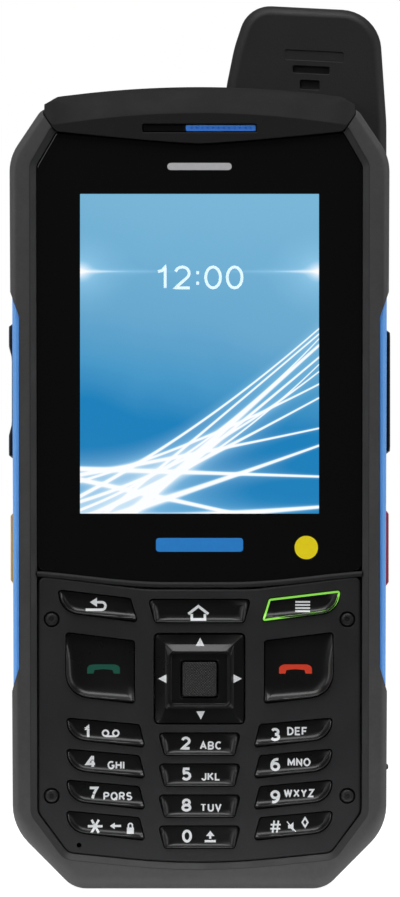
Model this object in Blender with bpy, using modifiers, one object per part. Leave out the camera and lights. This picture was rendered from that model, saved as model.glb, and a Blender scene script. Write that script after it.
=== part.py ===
"""A rugged keypad phone with a fixed paddle antenna, as an assembly of separate parts.

The phone stands upright on its bottom edge. +X is to the right seen from the front, the front
faces -Y, and +Z is up. The origin is on the ground, under the middle of the phone. Lengths in
this script are millimetres, and MM turns them into Blender's metres.
"""

import math

import bmesh
import bpy
from mathutils import Matrix, Vector

MM = 0.001

# ---- driving dimensions, in millimetres ----------------------------------------------------------

HALF_DEPTH = 12.5  # the bumper's front face is at -HALF_DEPTH, the rear face at +HALF_DEPTH
TOP_EDGE = 131.0  # top of both housings, under the hood
CROWN = 134.7  # highest point of the hood
KEY_REACH = 32.2  # how far the side keys stand out from the middle plane

# Body outline, right half: x, z and corner radius.
BODY_HALF = ((21.3, 0.0, 5.0), (31.25, 11.0, 5.0), (31.8, 122.8, 8.0), (26.4, TOP_EDGE, 2.4))

# Depth stations, from the front to the back.
FRONT_BEVEL = 2.0
Y_RECESS = -11.6  # lens, keypad plate and the rib between them lie at this depth
LENS_THICK = 1.4
PLATE_THICK = 1.6
Y_LENS_LEDGE = -9.9
Y_PLATE_LEDGE = -9.7
Y_FRONT_WALL = -8.8  # inner face of the front wall
Y_SPLIT_FRONT = -0.45  # rear rim of the front housing
Y_SPLIT_REAR = -0.15  # front rim of the rear housing
Y_BAY_FLOOR = 2.1
Y_COVER_SEAT = 10.0
Y_COVER = 10.3
Y_UPPER_CAVITY = 10.5

# Insets from the body outline.
SEAL_INSET = (3.1, 3.7)
GROOVE_INSET = (2.95, 3.85)
CAVITY_INSET = 4.1
BOSS_INNER_X = 23.1
BOSS_HALF = 2.3

GAP = 0.3  # clearance between neighbouring pieces
SMALL_RADIUS = 0.9  # corners rounder than this get finer arcs

# Keys.
KEY_FRONT = -12.0
KEY_BACK = -9.3
KEY_BEVEL = 0.3
NUMBER_PITCH = 5.2
SCREW_X = 24.8
SCREW_ROWS = (45.25, 15.65)
SCREW_R = 0.7
SCREW_HOLE_R = 0.85

# Side keys: low z, high z and reach from the middle plane.
SIDE_POCKET_X = 29.1
SIDE_KEY_HALF_WIDTH = 3.1
STRIP_INNER_X = 30.3
STRIP_OUTER_X = (31.15, 31.5)  # at the lower and the upper end
STRIP_Z = (37.0, 95.9)  # along the inner edge
VOLUME_SPAN = (72.4, 94.8)
PTT_SPAN = (72.7, 94.2)
AMBER_SPAN = (50.8, 64.2)
RED_SPAN = (50.4, 63.8)

# Navigation cluster.
NAV_CENTRE_Z = 35.3
NAV_PIVOT_Y = -9.8  # the ring and its pad tilt about this depth
NAV_HALF = 7.6
NAV_PLATEAU_HALF = 5.2
OK_HALF = 2.85

# The hood's slot, with the sensor window and the earpiece grille side by side in it.
SLOT_CENTRE_Z = 127.6
SLOT_HALF_WIDTH = 9.6
SLOT_HALF_HEIGHT = 0.65
INSERT_HALF_HEIGHT = 0.55
INSERT_Y = (-12.2, -10.8)
SENSOR_X = (-9.4, -2.5)
GRILLE_X = (-2.2, 9.4)

# Antenna.
ANTENNA_FRONT = 2.9
ANTENNA_BACK = 12.2
ANTENNA_LEFT = 4.4
ANTENNA_RIGHT = 31.7
ANTENNA_FOOT = 111.5
ANTENNA_SCREW = (18.0, 117.5)

# Port flap, on the right side.
FLAP_Y = (-8.6, -1.5)
FLAP_Z = (19.9, 31.7)  # lower edge, and hinge axis
FLAP_AXIS_X = 30.2
PORT_CENTRE = (-5.15, 25.9)  # y and z of the connector's middle

# Rear.
BATTERY = ((-22.5, 2.4, 22.0), (22.5, 9.7, 80.0))
LATCH_X = 18.5
LATCH_Z = 14.5
CAMERA_X = -9.0
CAMERA_Z = 113.2
FLASH_Z = 105.8
REAR_SCREW = (-24.8, 118.0)
SPEAKER_SLOT_XS = (6.9, 10.7, 14.5, 18.3, 22.1)
GRIP_GROOVE_ZS = (34, 40, 46, 52, 58, 64, 70)


# ---- scene, collections and materials ------------------------------------------------------------


def clear_scene():
    for obj in list(bpy.data.objects):
        bpy.data.objects.remove(obj, do_unlink=True)


def new_collection(name, hidden=False):
    collection = bpy.data.collections.new(name)
    bpy.context.scene.collection.children.link(collection)
    collection.hide_render = hidden
    return collection


clear_scene()
PARTS = new_collection("rugged_phone")
CUTTERS = new_collection("cutters", hidden=True)

PALETTE = {  # colour, roughness, metallic
    "bumper": ((0.055, 0.055, 0.057), 0.55, 0.0),
    "hood": ((0.035, 0.034, 0.035), 0.5, 0.0),
    "plate": ((0.024, 0.024, 0.026), 0.6, 0.0),
    "key": ((0.012, 0.012, 0.013), 0.4, 0.0),
    "blue": ((0.08, 0.26, 0.74), 0.45, 0.0),
    "amber": ((0.85, 0.48, 0.06), 0.45, 0.0),
    "red": ((0.7, 0.03, 0.04), 0.45, 0.0),
    "glass": ((0.005, 0.005, 0.006), 0.06, 0.0),
    "steel": ((0.35, 0.35, 0.36), 0.35, 1.0),
    "dark_steel": ((0.06, 0.06, 0.065), 0.4, 1.0),
    "rubber": ((0.02, 0.02, 0.02), 0.8, 0.0),
    "silicone": ((0.4, 0.4, 0.42), 0.7, 0.0),
    "board": ((0.02, 0.16, 0.07), 0.5, 0.0),
    "battery": ((0.03, 0.03, 0.035), 0.5, 0.0),
    "display": ((0.15, 0.42, 0.68), 0.3, 0.0),
    "magnesium": ((0.5, 0.5, 0.5), 0.5, 1.0),
    "gold": ((0.8, 0.55, 0.2), 0.3, 1.0),
}


def paint(obj, colour_name):
    colour, roughness, metallic = PALETTE[colour_name]
    material = bpy.data.materials.new(obj.name + "_material")
    material.use_nodes = True
    shader = material.node_tree.nodes["Principled BSDF"]
    shader.inputs["Base Color"].default_value = (*colour, 1.0)
    shader.inputs["Roughness"].default_value = roughness
    shader.inputs["Metallic"].default_value = metallic
    obj.data.materials.clear()
    obj.data.materials.append(material)
    return obj


# ---- outlines ------------------------------------------------------------------------------------


def signed_area(points):
    return sum(a[0] * b[1] - b[0] * a[1] for a, b in zip(points, points[1:] + points[:1])) / 2


def mirrored(half):
    """A full outline from its right half, listed from the bottom up. A corner on x = 0 isn't repeated."""
    left = [(-x, z, radius) for x, z, radius in reversed(half) if x > 0]
    return list(half) + left


def flipped(corners):
    """The same outline on the other side of the middle plane."""
    return [(-x, z, radius) for x, z, radius in reversed(corners)]


def raised(corners, dz):
    return [(x, z + dz, radius) for x, z, radius in corners]


def inset(corners, distance):
    """The outline moved inwards by distance, or outwards where it is negative."""
    points = [Vector(c[:2]) for c in corners]
    side = math.copysign(1.0, signed_area([tuple(p) for p in points]))
    moved = []
    for i, corner in enumerate(corners):
        before, here, after = points[i - 1], points[i], points[(i + 1) % len(points)]
        first, second = (here - before).normalized(), (after - here).normalized()
        normal_1, normal_2 = (Vector((-d.y, d.x)) * side for d in (first, second))
        slide = distance / (1.0 + normal_1.dot(normal_2))
        place = here + (normal_1 + normal_2) * slide
        convex = first.cross(second) * side > 0
        radius = max(0.0, corner[2] - distance if convex else corner[2] + distance)
        moved.append((place.x, place.y, radius))
    return moved


def outline(corners, degrees_per_step=24.0, longest_step=5.0):
    """The points of an outline given as corners (x, z, radius), with an arc at each rounded corner."""
    points = []
    for i, (x, z, radius) in enumerate(corners):
        here = Vector((x, z))
        before = (Vector(corners[i - 1][:2]) - here).normalized()
        after = (Vector(corners[(i + 1) % len(corners)][:2]) - here).normalized()
        turn = math.pi - before.angle(after)
        if radius < 0.05 or turn < 0.01:
            points.append((x, z))
            continue
        reach = radius * math.tan(turn / 2)
        start, end = here + before * reach, here + after * reach
        centre = here + (before + after).normalized() * (radius / math.cos(turn / 2))
        fewest = 1 if radius < SMALL_RADIUS else 2
        by_angle = round(math.degrees(turn) / degrees_per_step)
        steps = max(fewest, by_angle, math.ceil(radius * turn / longest_step))
        if radius < SMALL_RADIUS:
            steps = min(steps, 2)
        first, last = start - centre, end - centre
        for k in range(steps + 1):
            share = k / steps
            spoke = (first * math.sin(turn * (1 - share)) + last * math.sin(turn * share)) / math.sin(turn)
            points.append(tuple(centre + spoke))
    return points


def circle(x, z, radius, steps=16):
    return [
        (x + radius * math.cos(2 * math.pi * k / steps), z + radius * math.sin(2 * math.pi * k / steps))
        for k in range(steps)
    ]


def rectangle(low, high, radius=0.0):
    return [
        (low[0], low[1], radius),
        (high[0], low[1], radius),
        (high[0], high[1], radius),
        (low[0], high[1], radius),
    ]


# ---- solids --------------------------------------------------------------------------------------


def link(obj, collection):
    for owner in list(obj.users_collection):
        owner.objects.unlink(obj)
    collection.objects.link(obj)
    if collection is CUTTERS:
        obj.hide_render = True
        obj.display_type = "WIRE"
    return obj


def curve_solid(name, loops, thickness):
    """A 2D curve of closed loops, filled and extruded, as a welded mesh in its own XY plane."""
    curve = bpy.data.curves.new(name, "CURVE")
    curve.dimensions = "2D"
    curve.fill_mode = "BOTH"
    curve.extrude = thickness * MM / 2
    for loop in loops:
        spline = curve.splines.new("POLY")
        spline.points.add(len(loop) - 1)
        for point, (u, v) in zip(spline.points, loop):
            point.co = (u * MM, v * MM, 0, 1)
        spline.use_cyclic_u = True
    helper = bpy.data.objects.new(name, curve)
    bpy.context.scene.collection.objects.link(helper)
    bpy.context.view_layer.update()
    mesh = bpy.data.meshes.new_from_object(helper.evaluated_get(bpy.context.evaluated_depsgraph_get()))
    bpy.data.objects.remove(helper)
    bpy.data.curves.remove(curve)
    return mesh


def weld(mesh, merge_caps):
    """Welds caps to sides. merge_caps turns each flat cap into one face, so that its rim can be bevelled."""
    shape = bmesh.new()
    shape.from_mesh(mesh)
    bmesh.ops.remove_doubles(shape, verts=shape.verts, dist=1e-7)
    if merge_caps:
        bmesh.ops.dissolve_limit(shape, angle_limit=0.002, verts=shape.verts, edges=shape.edges)
    bmesh.ops.recalc_face_normals(shape, faces=shape.faces)
    shape.to_mesh(mesh)
    shape.free()


def bevel_rims(obj, front, back, segments):
    """Bevels the rims at the two ends of a slab. front and back are the widths at its low and high Y."""
    width = max(front, back)
    ys = [v.co.y for v in obj.data.vertices]
    ends = ((min(ys), front), (max(ys), back))
    weights = obj.data.attributes.new("bevel_weight_edge", "FLOAT", "EDGE")
    for edge in obj.data.edges:
        a, b = (obj.data.vertices[i].co.y for i in edge.vertices)
        for y, rim in ends:
            if abs(a - y) < 1e-6 and abs(b - y) < 1e-6:
                weights.data[edge.index].value = rim / width
    modifier = obj.modifiers.new("rim_bevel", "BEVEL")
    modifier.limit_method = "WEIGHT"
    modifier.width = width * MM
    modifier.segments = segments
    return obj


def slab(name, loops, y_low, y_high, collection=PARTS, front=0.0, back=0.0, segments=1, origin=(0, 0, 0)):
    """An outline in the XZ plane, extruded from y_low to y_high. Further loops are holes or islands."""
    mesh = curve_solid(name, loops, y_high - y_low)
    mesh.transform(Matrix.Rotation(math.pi / 2, 4, "X"))
    place = Vector((0, (y_low + y_high) / 2, 0)) - Vector(origin)
    mesh.transform(Matrix.Translation(place * MM))
    weld(mesh, merge_caps=len(loops) == 1 and (front or back) > 0)
    obj = link(bpy.data.objects.new(name, mesh), collection)
    obj.location = Vector(origin) * MM
    if front or back:
        bevel_rims(obj, front, back, segments)
    return obj


def box(name, low, high, collection=PARTS, origin=(0, 0, 0)):
    bpy.ops.mesh.primitive_cube_add(size=1)
    obj = link(bpy.context.object, collection)
    obj.name = name
    low, high, origin = Vector(low), Vector(high), Vector(origin)
    size = (high - low) * MM
    obj.data.transform(Matrix.Diagonal((*size, 1.0)))
    obj.data.transform(Matrix.Translation(((low + high) / 2 - origin) * MM))
    obj.location = origin * MM
    return obj


def cylinder(name, start, end, radius, collection=PARTS, segments=20, origin=(0, 0, 0)):
    start, end, origin = Vector(start), Vector(end), Vector(origin)
    length = (end - start).length
    bpy.ops.mesh.primitive_cylinder_add(vertices=segments, radius=radius * MM, depth=length * MM)
    obj = link(bpy.context.object, collection)
    obj.name = name
    turn = Vector((0, 0, 1)).rotation_difference(end - start).to_matrix().to_4x4()
    obj.data.transform(turn)
    obj.data.transform(Matrix.Translation(((start + end) / 2 - origin) * MM))
    obj.location = origin * MM
    return obj


def combine(obj, others, operation):
    for other in others:
        modifier = obj.modifiers.new(other.name, "BOOLEAN")
        modifier.operation = operation
        modifier.object = other
    return obj


def cut(obj, *cutters):
    return combine(obj, cutters, "DIFFERENCE")


def fuse(obj, *others):
    return combine(obj, others, "UNION")


def cut_slab(name, loops, y_low, y_high, **rims):
    return slab(name + "_cut", loops, y_low, y_high, CUTTERS, **rims)


def cut_box(name, low, high):
    return box(name + "_cut", low, high, CUTTERS)


def cut_cylinder(name, start, end, radius, segments=16):
    return cylinder(name + "_cut", start, end, radius, CUTTERS, segments)


# ---- shared outlines -----------------------------------------------------------------------------

BODY = mirrored(BODY_HALF)
LENS = mirrored(
    ((0.0, 49.2, 150.0), (27.2, 53.65, 1.2), (27.3, 121.3, 1.5), (24.05, 126.9, 0.5), (0.0, 124.8, 40.0))
)
PLATE = mirrored(
    ((0.0, 3.9, 120.0), (22.05, 6.15, 2.0), (27.0, 12.9, 2.0), (27.0, 52.6, 1.2), (9.0, 50.35, 20.0))
)
RECESS = mirrored(
    (
        (0.0, 3.9, 120.0),
        (22.05, 6.15, 2.0),
        (27.1, 12.9, 2.0),
        (27.3, 121.3, 1.5),
        (24.05, 126.9, 0.5),
        (0.0, 124.8, 40.0),
    )
)
HOOD = mirrored(
    (
        (0.0, 124.9, 40.0),
        (24.2, 127.1, 0.4),
        (26.1, 129.9, 0.5),
        (26.1, 132.1, 1.0),
        (23.5, 133.0, 3.0),
        (0.0, 2 * CROWN - 133.0, 160.0),
    )
)
ANTENNA = [
    (ANTENNA_LEFT, ANTENNA_FOOT, 1.0),
    (ANTENNA_RIGHT, ANTENNA_FOOT, 2.0),
    (ANTENNA_RIGHT, 129.0, 40.0),
    (30.5, 148.0, 5.0),
    (8.3, 149.1, 5.2),
    (5.9, 141.9, 25.0),
    (ANTENNA_LEFT, 134.5, 20.0),
]

# Keys with a round lower outer corner, as they lie on the left of the phone.
SOFT_KEY = [(-23.8, 50.2, 0.5), (-22.9, 46.55, 3.4), (-10.4, 44.85, 0.4), (-11.6, 48.75, 0.6)]
CALL_KEY = [(-22.4, 43.05, 0.5), (-22.3, 32.6, 4.0), (-10.9, 31.2, 0.5), (-10.9, 41.65, 0.5)]
NUMBER_KEY = [(-22.3, 28.7, 0.5), (-21.9, 25.3, 3.4), (-9.2, 23.85, 0.4), (-10.1, 27.6, 0.6)]
HOME_KEY = [(-8.6, 48.6, 0.6), (-7.4, 44.8, 0.4), (7.4, 44.8, 0.4), (8.6, 48.6, 0.6)]
MIDDLE_KEY = [(-6.9, 26.2, 0.6), (-5.8, 22.55, 0.4), (5.8, 22.55, 0.4), (6.9, 26.2, 0.6)]


def key_outlines():
    """Every plain key cap's outline by name."""
    keys = {
        "back_key": SOFT_KEY,
        "menu_key": flipped(SOFT_KEY),
        "home_key": HOME_KEY,
        "call_key": CALL_KEY,
        "end_key": flipped(CALL_KEY),
    }
    rows = (("key_1", "key_2", "key_3"), ("key_4", "key_5", "key_6"), ("key_7", "key_8", "key_9"),
            ("key_star", "key_0", "key_hash"))
    for row, (left, middle, right) in enumerate(rows):
        drop = -row * NUMBER_PITCH
        keys[left] = raised(NUMBER_KEY, drop)
        keys[middle] = raised(MIDDLE_KEY, drop)
        keys[right] = flipped(raised(NUMBER_KEY, drop))
    return keys


KEYS = key_outlines()
NAV_LOW = (-NAV_HALF, NAV_CENTRE_Z - NAV_HALF)
NAV_HIGH = (NAV_HALF, NAV_CENTRE_Z + NAV_HALF)
SCREW_PLACES = [(side * SCREW_X, z) for z in SCREW_ROWS for side in (-1, 1)]


def strip_outline(side, inner, outer, margin=0.0):
    """A side strip's outline. Its ends slope, and margin moves them outwards."""
    low_inner, high_inner = STRIP_Z

    def ends(x):
        reach = x - STRIP_INNER_X
        return low_inner - margin - 3.2 * reach, high_inner + margin + 2.3 * reach

    corners = [
        (inner, ends(inner)[0], 0.0),
        (outer[0], ends(outer[0])[0], 0.0),
        (outer[1], ends(outer[1])[1], 0.0),
        (inner, ends(inner)[1], 0.0),
    ]
    return outline(corners if side > 0 else flipped(corners))


# ---- housings ------------------------------------------------------------------------------------


def side_cutters(owner):
    """Cutters for the strip pockets and side-key wells, which both housings share."""
    cutters = []
    spans = {-1: (VOLUME_SPAN, AMBER_SPAN), 1: (PTT_SPAN, RED_SPAN)}
    for side, label in ((-1, "left"), (1, "right")):
        pocket = strip_outline(side, STRIP_INNER_X - GAP, (32.5, 32.5), margin=1.0)
        cutters.append(cut_slab(f"{owner}_{label}_strip", [pocket], -11.2 - GAP, 10.2 + GAP))
        for low, high in spans[side]:
            ends = sorted((side * SIDE_POCKET_X, side * 34.0))
            half = SIDE_KEY_HALF_WIDTH + 0.9
            corner_low, corner_high = (ends[0], -half, low - 0.9), (ends[1], half, high + 0.9)
            cutters.append(cut_box(f"{owner}_{label}_well_{low:.0f}", corner_low, corner_high))
    return cutters


def screw_bosses():
    """Blocks inside the front housing's side walls, one for each case screw."""
    bosses = []
    for i, (x, z) in enumerate([*SCREW_PLACES, REAR_SCREW]):
        near, far = sorted((math.copysign(BOSS_INNER_X, x), math.copysign(28.5, x)))
        low, high = (near, Y_FRONT_WALL - 0.5, z - BOSS_HALF), (far, Y_SPLIT_FRONT, z + BOSS_HALF)
        bosses.append(box(f"screw_boss_{i}", low, high, CUTTERS))
    return bosses


def front_housing():
    body = [outline(BODY)]
    housing = slab("front_housing", body, -HALF_DEPTH, Y_SPLIT_FRONT, front=FRONT_BEVEL, segments=3)
    opening = mirrored(
        ((0.0, 5.9, 100.0), (20.6, 7.6, 1.5), (23.0, 11.0, 1.5), (23.0, 46.6, 0.5), (24.3, 47.4, 0.5),
         (24.3, 50.5, 0.5), (9.0, 49.0, 10.0))
    )
    lcd_window = rectangle((-22.2, 59.8), (22.2, 119.2), 1.0)
    hood_seat = inset(HOOD, -GAP)
    cut(housing, cut_slab("cavity", [outline(inset(BODY, CAVITY_INSET))], Y_FRONT_WALL, 2.0))
    fuse(housing, *screw_bosses())
    cutters = [
        cut_slab("recess", [outline(inset(RECESS, -1.3))], -15.0, Y_RECESS, back=1.2),
        cut_slab("lens_seat", [outline(inset(LENS, -GAP))], -14.0, Y_LENS_LEDGE),
        cut_slab("lcd_window", [outline(lcd_window)], -14.0, 0.0),
        cut_slab("plate_seat", [outline(inset(PLATE, -GAP))], -14.0, Y_PLATE_LEDGE),
        cut_slab("keypad_opening", [outline(opening)], -14.0, -7.0),
        cut_slab("hood_seat", [outline(hood_seat)], -14.0, -10.3),
        cut_box("earpiece_window", (-10.0, -11.0, SLOT_CENTRE_Z - 0.9), (10.0, -7.0, SLOT_CENTRE_Z + 1.0)),
    ]
    cutters += side_cutters("front")
    for i, (x, z) in enumerate(SCREW_PLACES):
        cutters.append(cut_cylinder(f"front_screw_{i}", (x, -12.0, z), (x, 1.0, z), SCREW_HOLE_R))
    x, z = REAR_SCREW
    cutters.append(cut_cylinder("front_rear_screw", (x, -4.0, z), (x, 1.0, z), SCREW_HOLE_R))
    # The flap's well, its hinge hole and the connector's aperture.
    y_low, y_high = FLAP_Y
    port_y, port_z = PORT_CENTRE
    cutters += [
        cut_box("flap_well", (29.1, y_low - GAP, FLAP_Z[0] - 0.5), (34.0, y_high + GAP, FLAP_Z[1] + 1.1)),
        cut_cylinder("flap_pin_hole", (FLAP_AXIS_X, -10.3, FLAP_Z[1]), (FLAP_AXIS_X, 1.0, FLAP_Z[1]), 0.5),
        cut_box("port_aperture", (26.0, port_y - 1.75, port_z - 4.8), (30.0, port_y + 1.75, port_z + 4.8)),
    ]
    return paint(cut(housing, *cutters), "bumper")


def rear_housing():
    housing = slab("rear_housing", [outline(BODY)], Y_SPLIT_REAR, HALF_DEPTH, back=FRONT_BEVEL, segments=3)
    upper = [
        (-23.5, 94.5, 1.0), (26.5, 94.5, 1.0), (26.5, 109.2, 1.0), (2.4, 109.2, 0.0), (2.4, 127.3, 1.0),
        (-22.5, 127.3, 1.0), (-22.5, 109.2, 0.0), (-23.5, 109.2, 0.0),
    ]
    slots = [outline(rectangle((x - 0.7, 96.5), (x + 0.7, 105.5), 0.69)) for x in SPEAKER_SLOT_XS]
    groove = [outline(inset(BODY, GROOVE_INSET[0])), outline(inset(BODY, GROOVE_INSET[1]))]
    bay_low = (BATTERY[0][0] - 0.4, Y_BAY_FLOOR, BATTERY[0][2] - 0.4)
    bay_high = (BATTERY[1][0] + 0.4, 14.0, BATTERY[1][2] + 3.4)
    antenna_corner = (ANTENNA_LEFT - GAP, ANTENNA_FRONT - GAP, ANTENNA_FOOT - GAP)
    cutters = [
        cut_box("antenna_seat", antenna_corner, (40.0, 20.0, 150.0)),
        cut_slab("upper_cavity", [outline(upper)], -1.0, Y_UPPER_CAVITY),
        cut_slab("seal_groove", groove, -1.0, 0.9),
        cut_slab("cover_seat", [outline(inset(COVER, -GAP))], Y_COVER_SEAT, 14.0),
        cut_box("battery_bay", bay_low, bay_high),
        cut_slab("speaker_slots", slots, 9.0, 14.0),
        cut_slab("camera_seat", [outline(inset(CAMERA_WINDOW, -0.2))], 11.0, 14.0),
        cut_cylinder("camera_hole", (CAMERA_X, 9.0, CAMERA_Z), (CAMERA_X, 14.0, CAMERA_Z), 3.4, 24),
        cut_cylinder("flash_hole", (CAMERA_X, 9.0, FLASH_Z), (CAMERA_X, 14.0, FLASH_Z), 1.7),
    ]
    cutters += side_cutters("rear")
    for i, (x, z) in enumerate(SCREW_PLACES):
        cutters.append(cut_cylinder(f"rear_boss_{i}", (x, -2.0, z), (x, 7.3, z), SCREW_HOLE_R))
    x, z = REAR_SCREW
    cutters.append(cut_cylinder("rear_screw_hole", (x, -2.0, z), (x, 14.0, z), SCREW_HOLE_R))
    cutters.append(cut_cylinder("rear_screw_head", (x, 11.0, z), (x, 14.0, z), 2.0))
    x, z = ANTENNA_SCREW
    cutters.append(cut_cylinder("antenna_screw_boss", (x, -2.0, z), (x, 4.0, z), SCREW_HOLE_R))
    for side in (-1, 1):
        x = side * LATCH_X
        cutters.append(cut_cylinder(f"latch_bore_{side + 1}", (x, 6.4, LATCH_Z), (x, 12.0, LATCH_Z), 1.4))
    # Lanyard loop: one hole from the rear face, one from the chamfered corner, meeting behind a bar.
    cutters.append(cut_cylinder("lanyard_rear", (-25.0, 6.6, 8.6), (-25.0, 14.0, 8.6), 1.3))
    cutters.append(cut_cylinder("lanyard_side", (-24.3, 7.9, 9.3), (-31.0, 7.9, 3.3), 1.3))
    return paint(cut(housing, *cutters), "bumper")


def housing_seal():
    ring = [outline(inset(BODY, SEAL_INSET[0])), outline(inset(BODY, SEAL_INSET[1]))]
    return paint(slab("housing_seal", ring, -0.35, 0.6), "rubber")


def slot_rectangle(ends, half_height, radius):
    """A rectangle in the hood's slot, between two x positions."""
    low, high = ends
    corners = rectangle((low, SLOT_CENTRE_Z - half_height), (high, SLOT_CENTRE_Z + half_height), radius)
    return outline(corners)


def top_hood():
    hood = slab("top_hood", [outline(HOOD)], -HALF_DEPTH, 12.2, front=2.6, back=1.4, segments=3)
    slot = slot_rectangle((-SLOT_HALF_WIDTH, SLOT_HALF_WIDTH), SLOT_HALF_HEIGHT, 0.3)
    cutters = [
        cut_box("hood_underside", (-40, -10.6, 100), (40, 20, TOP_EDGE + GAP)),
        cut_box("hood_antenna_side", (ANTENNA_LEFT - GAP, ANTENNA_FRONT - GAP, 100), (40, 20, 150)),
        cut_slab("earpiece_slot", [slot], -14.0, -9.0),
    ]
    return paint(cut(hood, *cutters), "hood")


def slot_inserts():
    """The dark sensor window and the blue earpiece grille, side by side in the hood's slot."""
    window = slab("sensor_window", [slot_rectangle(SENSOR_X, INSERT_HALF_HEIGHT, 0.2)], *INSERT_Y)
    grille = slab("earpiece_grille", [slot_rectangle(GRILLE_X, INSERT_HALF_HEIGHT, 0.2)], *INSERT_Y)
    return [paint(window, "glass"), paint(grille, "blue")]


def side_strip(label, side, spans):
    strip = slab(f"side_strip_{label}", [strip_outline(side, STRIP_INNER_X, STRIP_OUTER_X)], -11.2, 10.2)
    half = SIDE_KEY_HALF_WIDTH + GAP
    for low, high in spans:
        ends = sorted((side * 28.0, side * 34.0))
        corner_low, corner_high = (ends[0], -half, low - GAP), (ends[1], half, high + GAP)
        cut(strip, cut_box(f"strip_{label}_{low:.0f}", corner_low, corner_high))
    return paint(strip, "blue")


# ---- front face ----------------------------------------------------------------------------------


def display_lens():
    lens = slab("display_lens", [outline(LENS)], Y_RECESS, Y_RECESS + LENS_THICK, front=0.25)
    return paint(lens, "glass")


def keypad_plate():
    loops = [outline(PLATE, longest_step=6.0)]
    loops += [outline(inset(corners, -GAP)) for corners in KEYS.values()]
    loops.append(outline(inset(rectangle(NAV_LOW, NAV_HIGH, 0.8), -GAP)))
    loops += [circle(x, z, SCREW_HOLE_R, 12) for x, z in SCREW_PLACES]
    loops.append(circle(-20.2, 7.6, 0.45, 8))  # microphone hole
    plate = slab("keypad_plate", loops, Y_RECESS, Y_RECESS + PLATE_THICK)
    heads = [circle(x, z, 1.45) for x, z in SCREW_PLACES]
    cut(plate, cut_slab("plate_screw_heads", heads, -13.0, -10.6))
    return paint(plate, "plate")


def keypad_screws():
    screws = []
    for number, (x, z) in enumerate(SCREW_PLACES, 1):
        head = slab(f"keypad_screw_{number}", [circle(x, z, 1.25)], -11.4, -10.75, front=0.2)
        fuse(head, cylinder(f"keypad_shank_{number}", (x, -11.0, z), (x, 7.0, z), SCREW_R, CUTTERS, 12))
        cut(head, cut_slab(f"keypad_socket_{number}", [circle(x, z, 0.55, 6)], -12.0, -11.05))
        screws.append(paint(head, "dark_steel"))
    return screws


def key_caps():
    caps = []
    for name, corners in KEYS.items():
        caps.append(paint(slab(name, [outline(corners)], KEY_FRONT, KEY_BACK, front=KEY_BEVEL), "key"))
    return caps


def navigation_cluster():
    """The four-way ring, the pad that it rocks on, and the centre key inside them."""
    pivot = (0.0, NAV_PIVOT_Y, NAV_CENTRE_Z)
    centre = Vector((0.0, NAV_CENTRE_Z))

    def square(half, radius):
        return outline(rectangle(centre - Vector((half, half)), centre + Vector((half, half)), radius))

    ring = slab("nav_ring", [square(NAV_HALF, 0.8)], -11.9, -10.2, front=KEY_BEVEL, origin=pivot)
    channel = [square(NAV_HALF - 0.5, 0.5), square(NAV_PLATEAU_HALF, 0.4)]
    valley = cut_slab("nav_valley", channel, -13.0, -11.5)
    cut(ring, valley, cut_slab("nav_hole", [square(OK_HALF + GAP, 0.4)], -13.0, -9.0))
    pad = slab("nav_pad", [square(4.7, 0.5), square(3.35, 0.4)], NAV_PIVOT_Y, -9.2, origin=pivot)
    centre_key = slab("ok_key", [square(OK_HALF, 0.4)], KEY_FRONT, KEY_BACK, front=0.2)
    return [paint(ring, "key"), paint(pad, "silicone"), paint(centre_key, "key")]


# ---- side keys and port flap ---------------------------------------------------------------------


def side_key(name, side, span, reach, base_x, colour):
    """A key that stands out through its strip's window, with a flange behind the strip."""
    low, high = span
    middle = (side * (base_x + 0.15), 0.0, (low + high) / 2)
    ends = sorted((side * base_x, side * (base_x + 0.3)))
    flange_half = SIDE_KEY_HALF_WIDTH + 0.6
    flange = box(name, (ends[0], -flange_half, low - 0.6), (ends[1], flange_half, high + 0.6), origin=middle)
    ends = sorted((side * (base_x + 0.1), side * reach))
    stem_low, stem_high = (ends[0], -SIDE_KEY_HALF_WIDTH, low), (ends[1], SIDE_KEY_HALF_WIDTH, high)
    stem = box(name + "_stem", stem_low, stem_high, CUTTERS)
    bevel = stem.modifiers.new("rim_bevel", "BEVEL")
    bevel.width = 0.5 * MM
    bevel.segments = 2
    return paint(fuse(flange, stem), colour)


def side_keys():
    rocker = side_key("volume_rocker", -1, VOLUME_SPAN, KEY_REACH, 29.55, "key")
    middle = sum(VOLUME_SPAN) / 2
    cut(rocker, cut_cylinder("rocker_dip", (-52.9, -10.0, middle), (-52.9, 10.0, middle), 21.4, 64))
    return [
        rocker,
        side_key("amber_key", -1, AMBER_SPAN, 31.9, 29.7, "amber"),
        side_key("talk_key", 1, PTT_SPAN, KEY_REACH, 29.7, "key"),
        side_key("emergency_key", 1, RED_SPAN, 31.95, 29.7, "red"),
    ]


def port_flap():
    y_low, y_high = FLAP_Y
    z_low, z_axis = FLAP_Z
    axis = (FLAP_AXIS_X, 0.0, z_axis)
    flap = box("port_flap", (29.6, y_low, z_low), (31.1, y_high, z_axis - 0.3), origin=axis)
    barrel = cylinder("flap_barrel", (axis[0], y_low, z_axis), (axis[0], y_high, z_axis), 0.85, CUTTERS, 16)
    middle = (y_low + y_high) / 2
    lip = box("flap_lip", (30.5, middle - 2.0, z_low), (31.75, middle + 2.0, z_low + 0.9), CUTTERS)
    bore = cut_cylinder("flap_bore", (axis[0], y_low - 1, z_axis), (axis[0], y_high + 1, z_axis), 0.5)
    fuse(flap, barrel, lip)
    cut(flap, bore)
    pin = cylinder("flap_hinge_pin", (axis[0], -10.0, z_axis), (axis[0], -0.7, z_axis), 0.4, segments=12)
    return [paint(flap, "rubber"), paint(pin, "steel")]


# ---- antenna -------------------------------------------------------------------------------------


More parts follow.
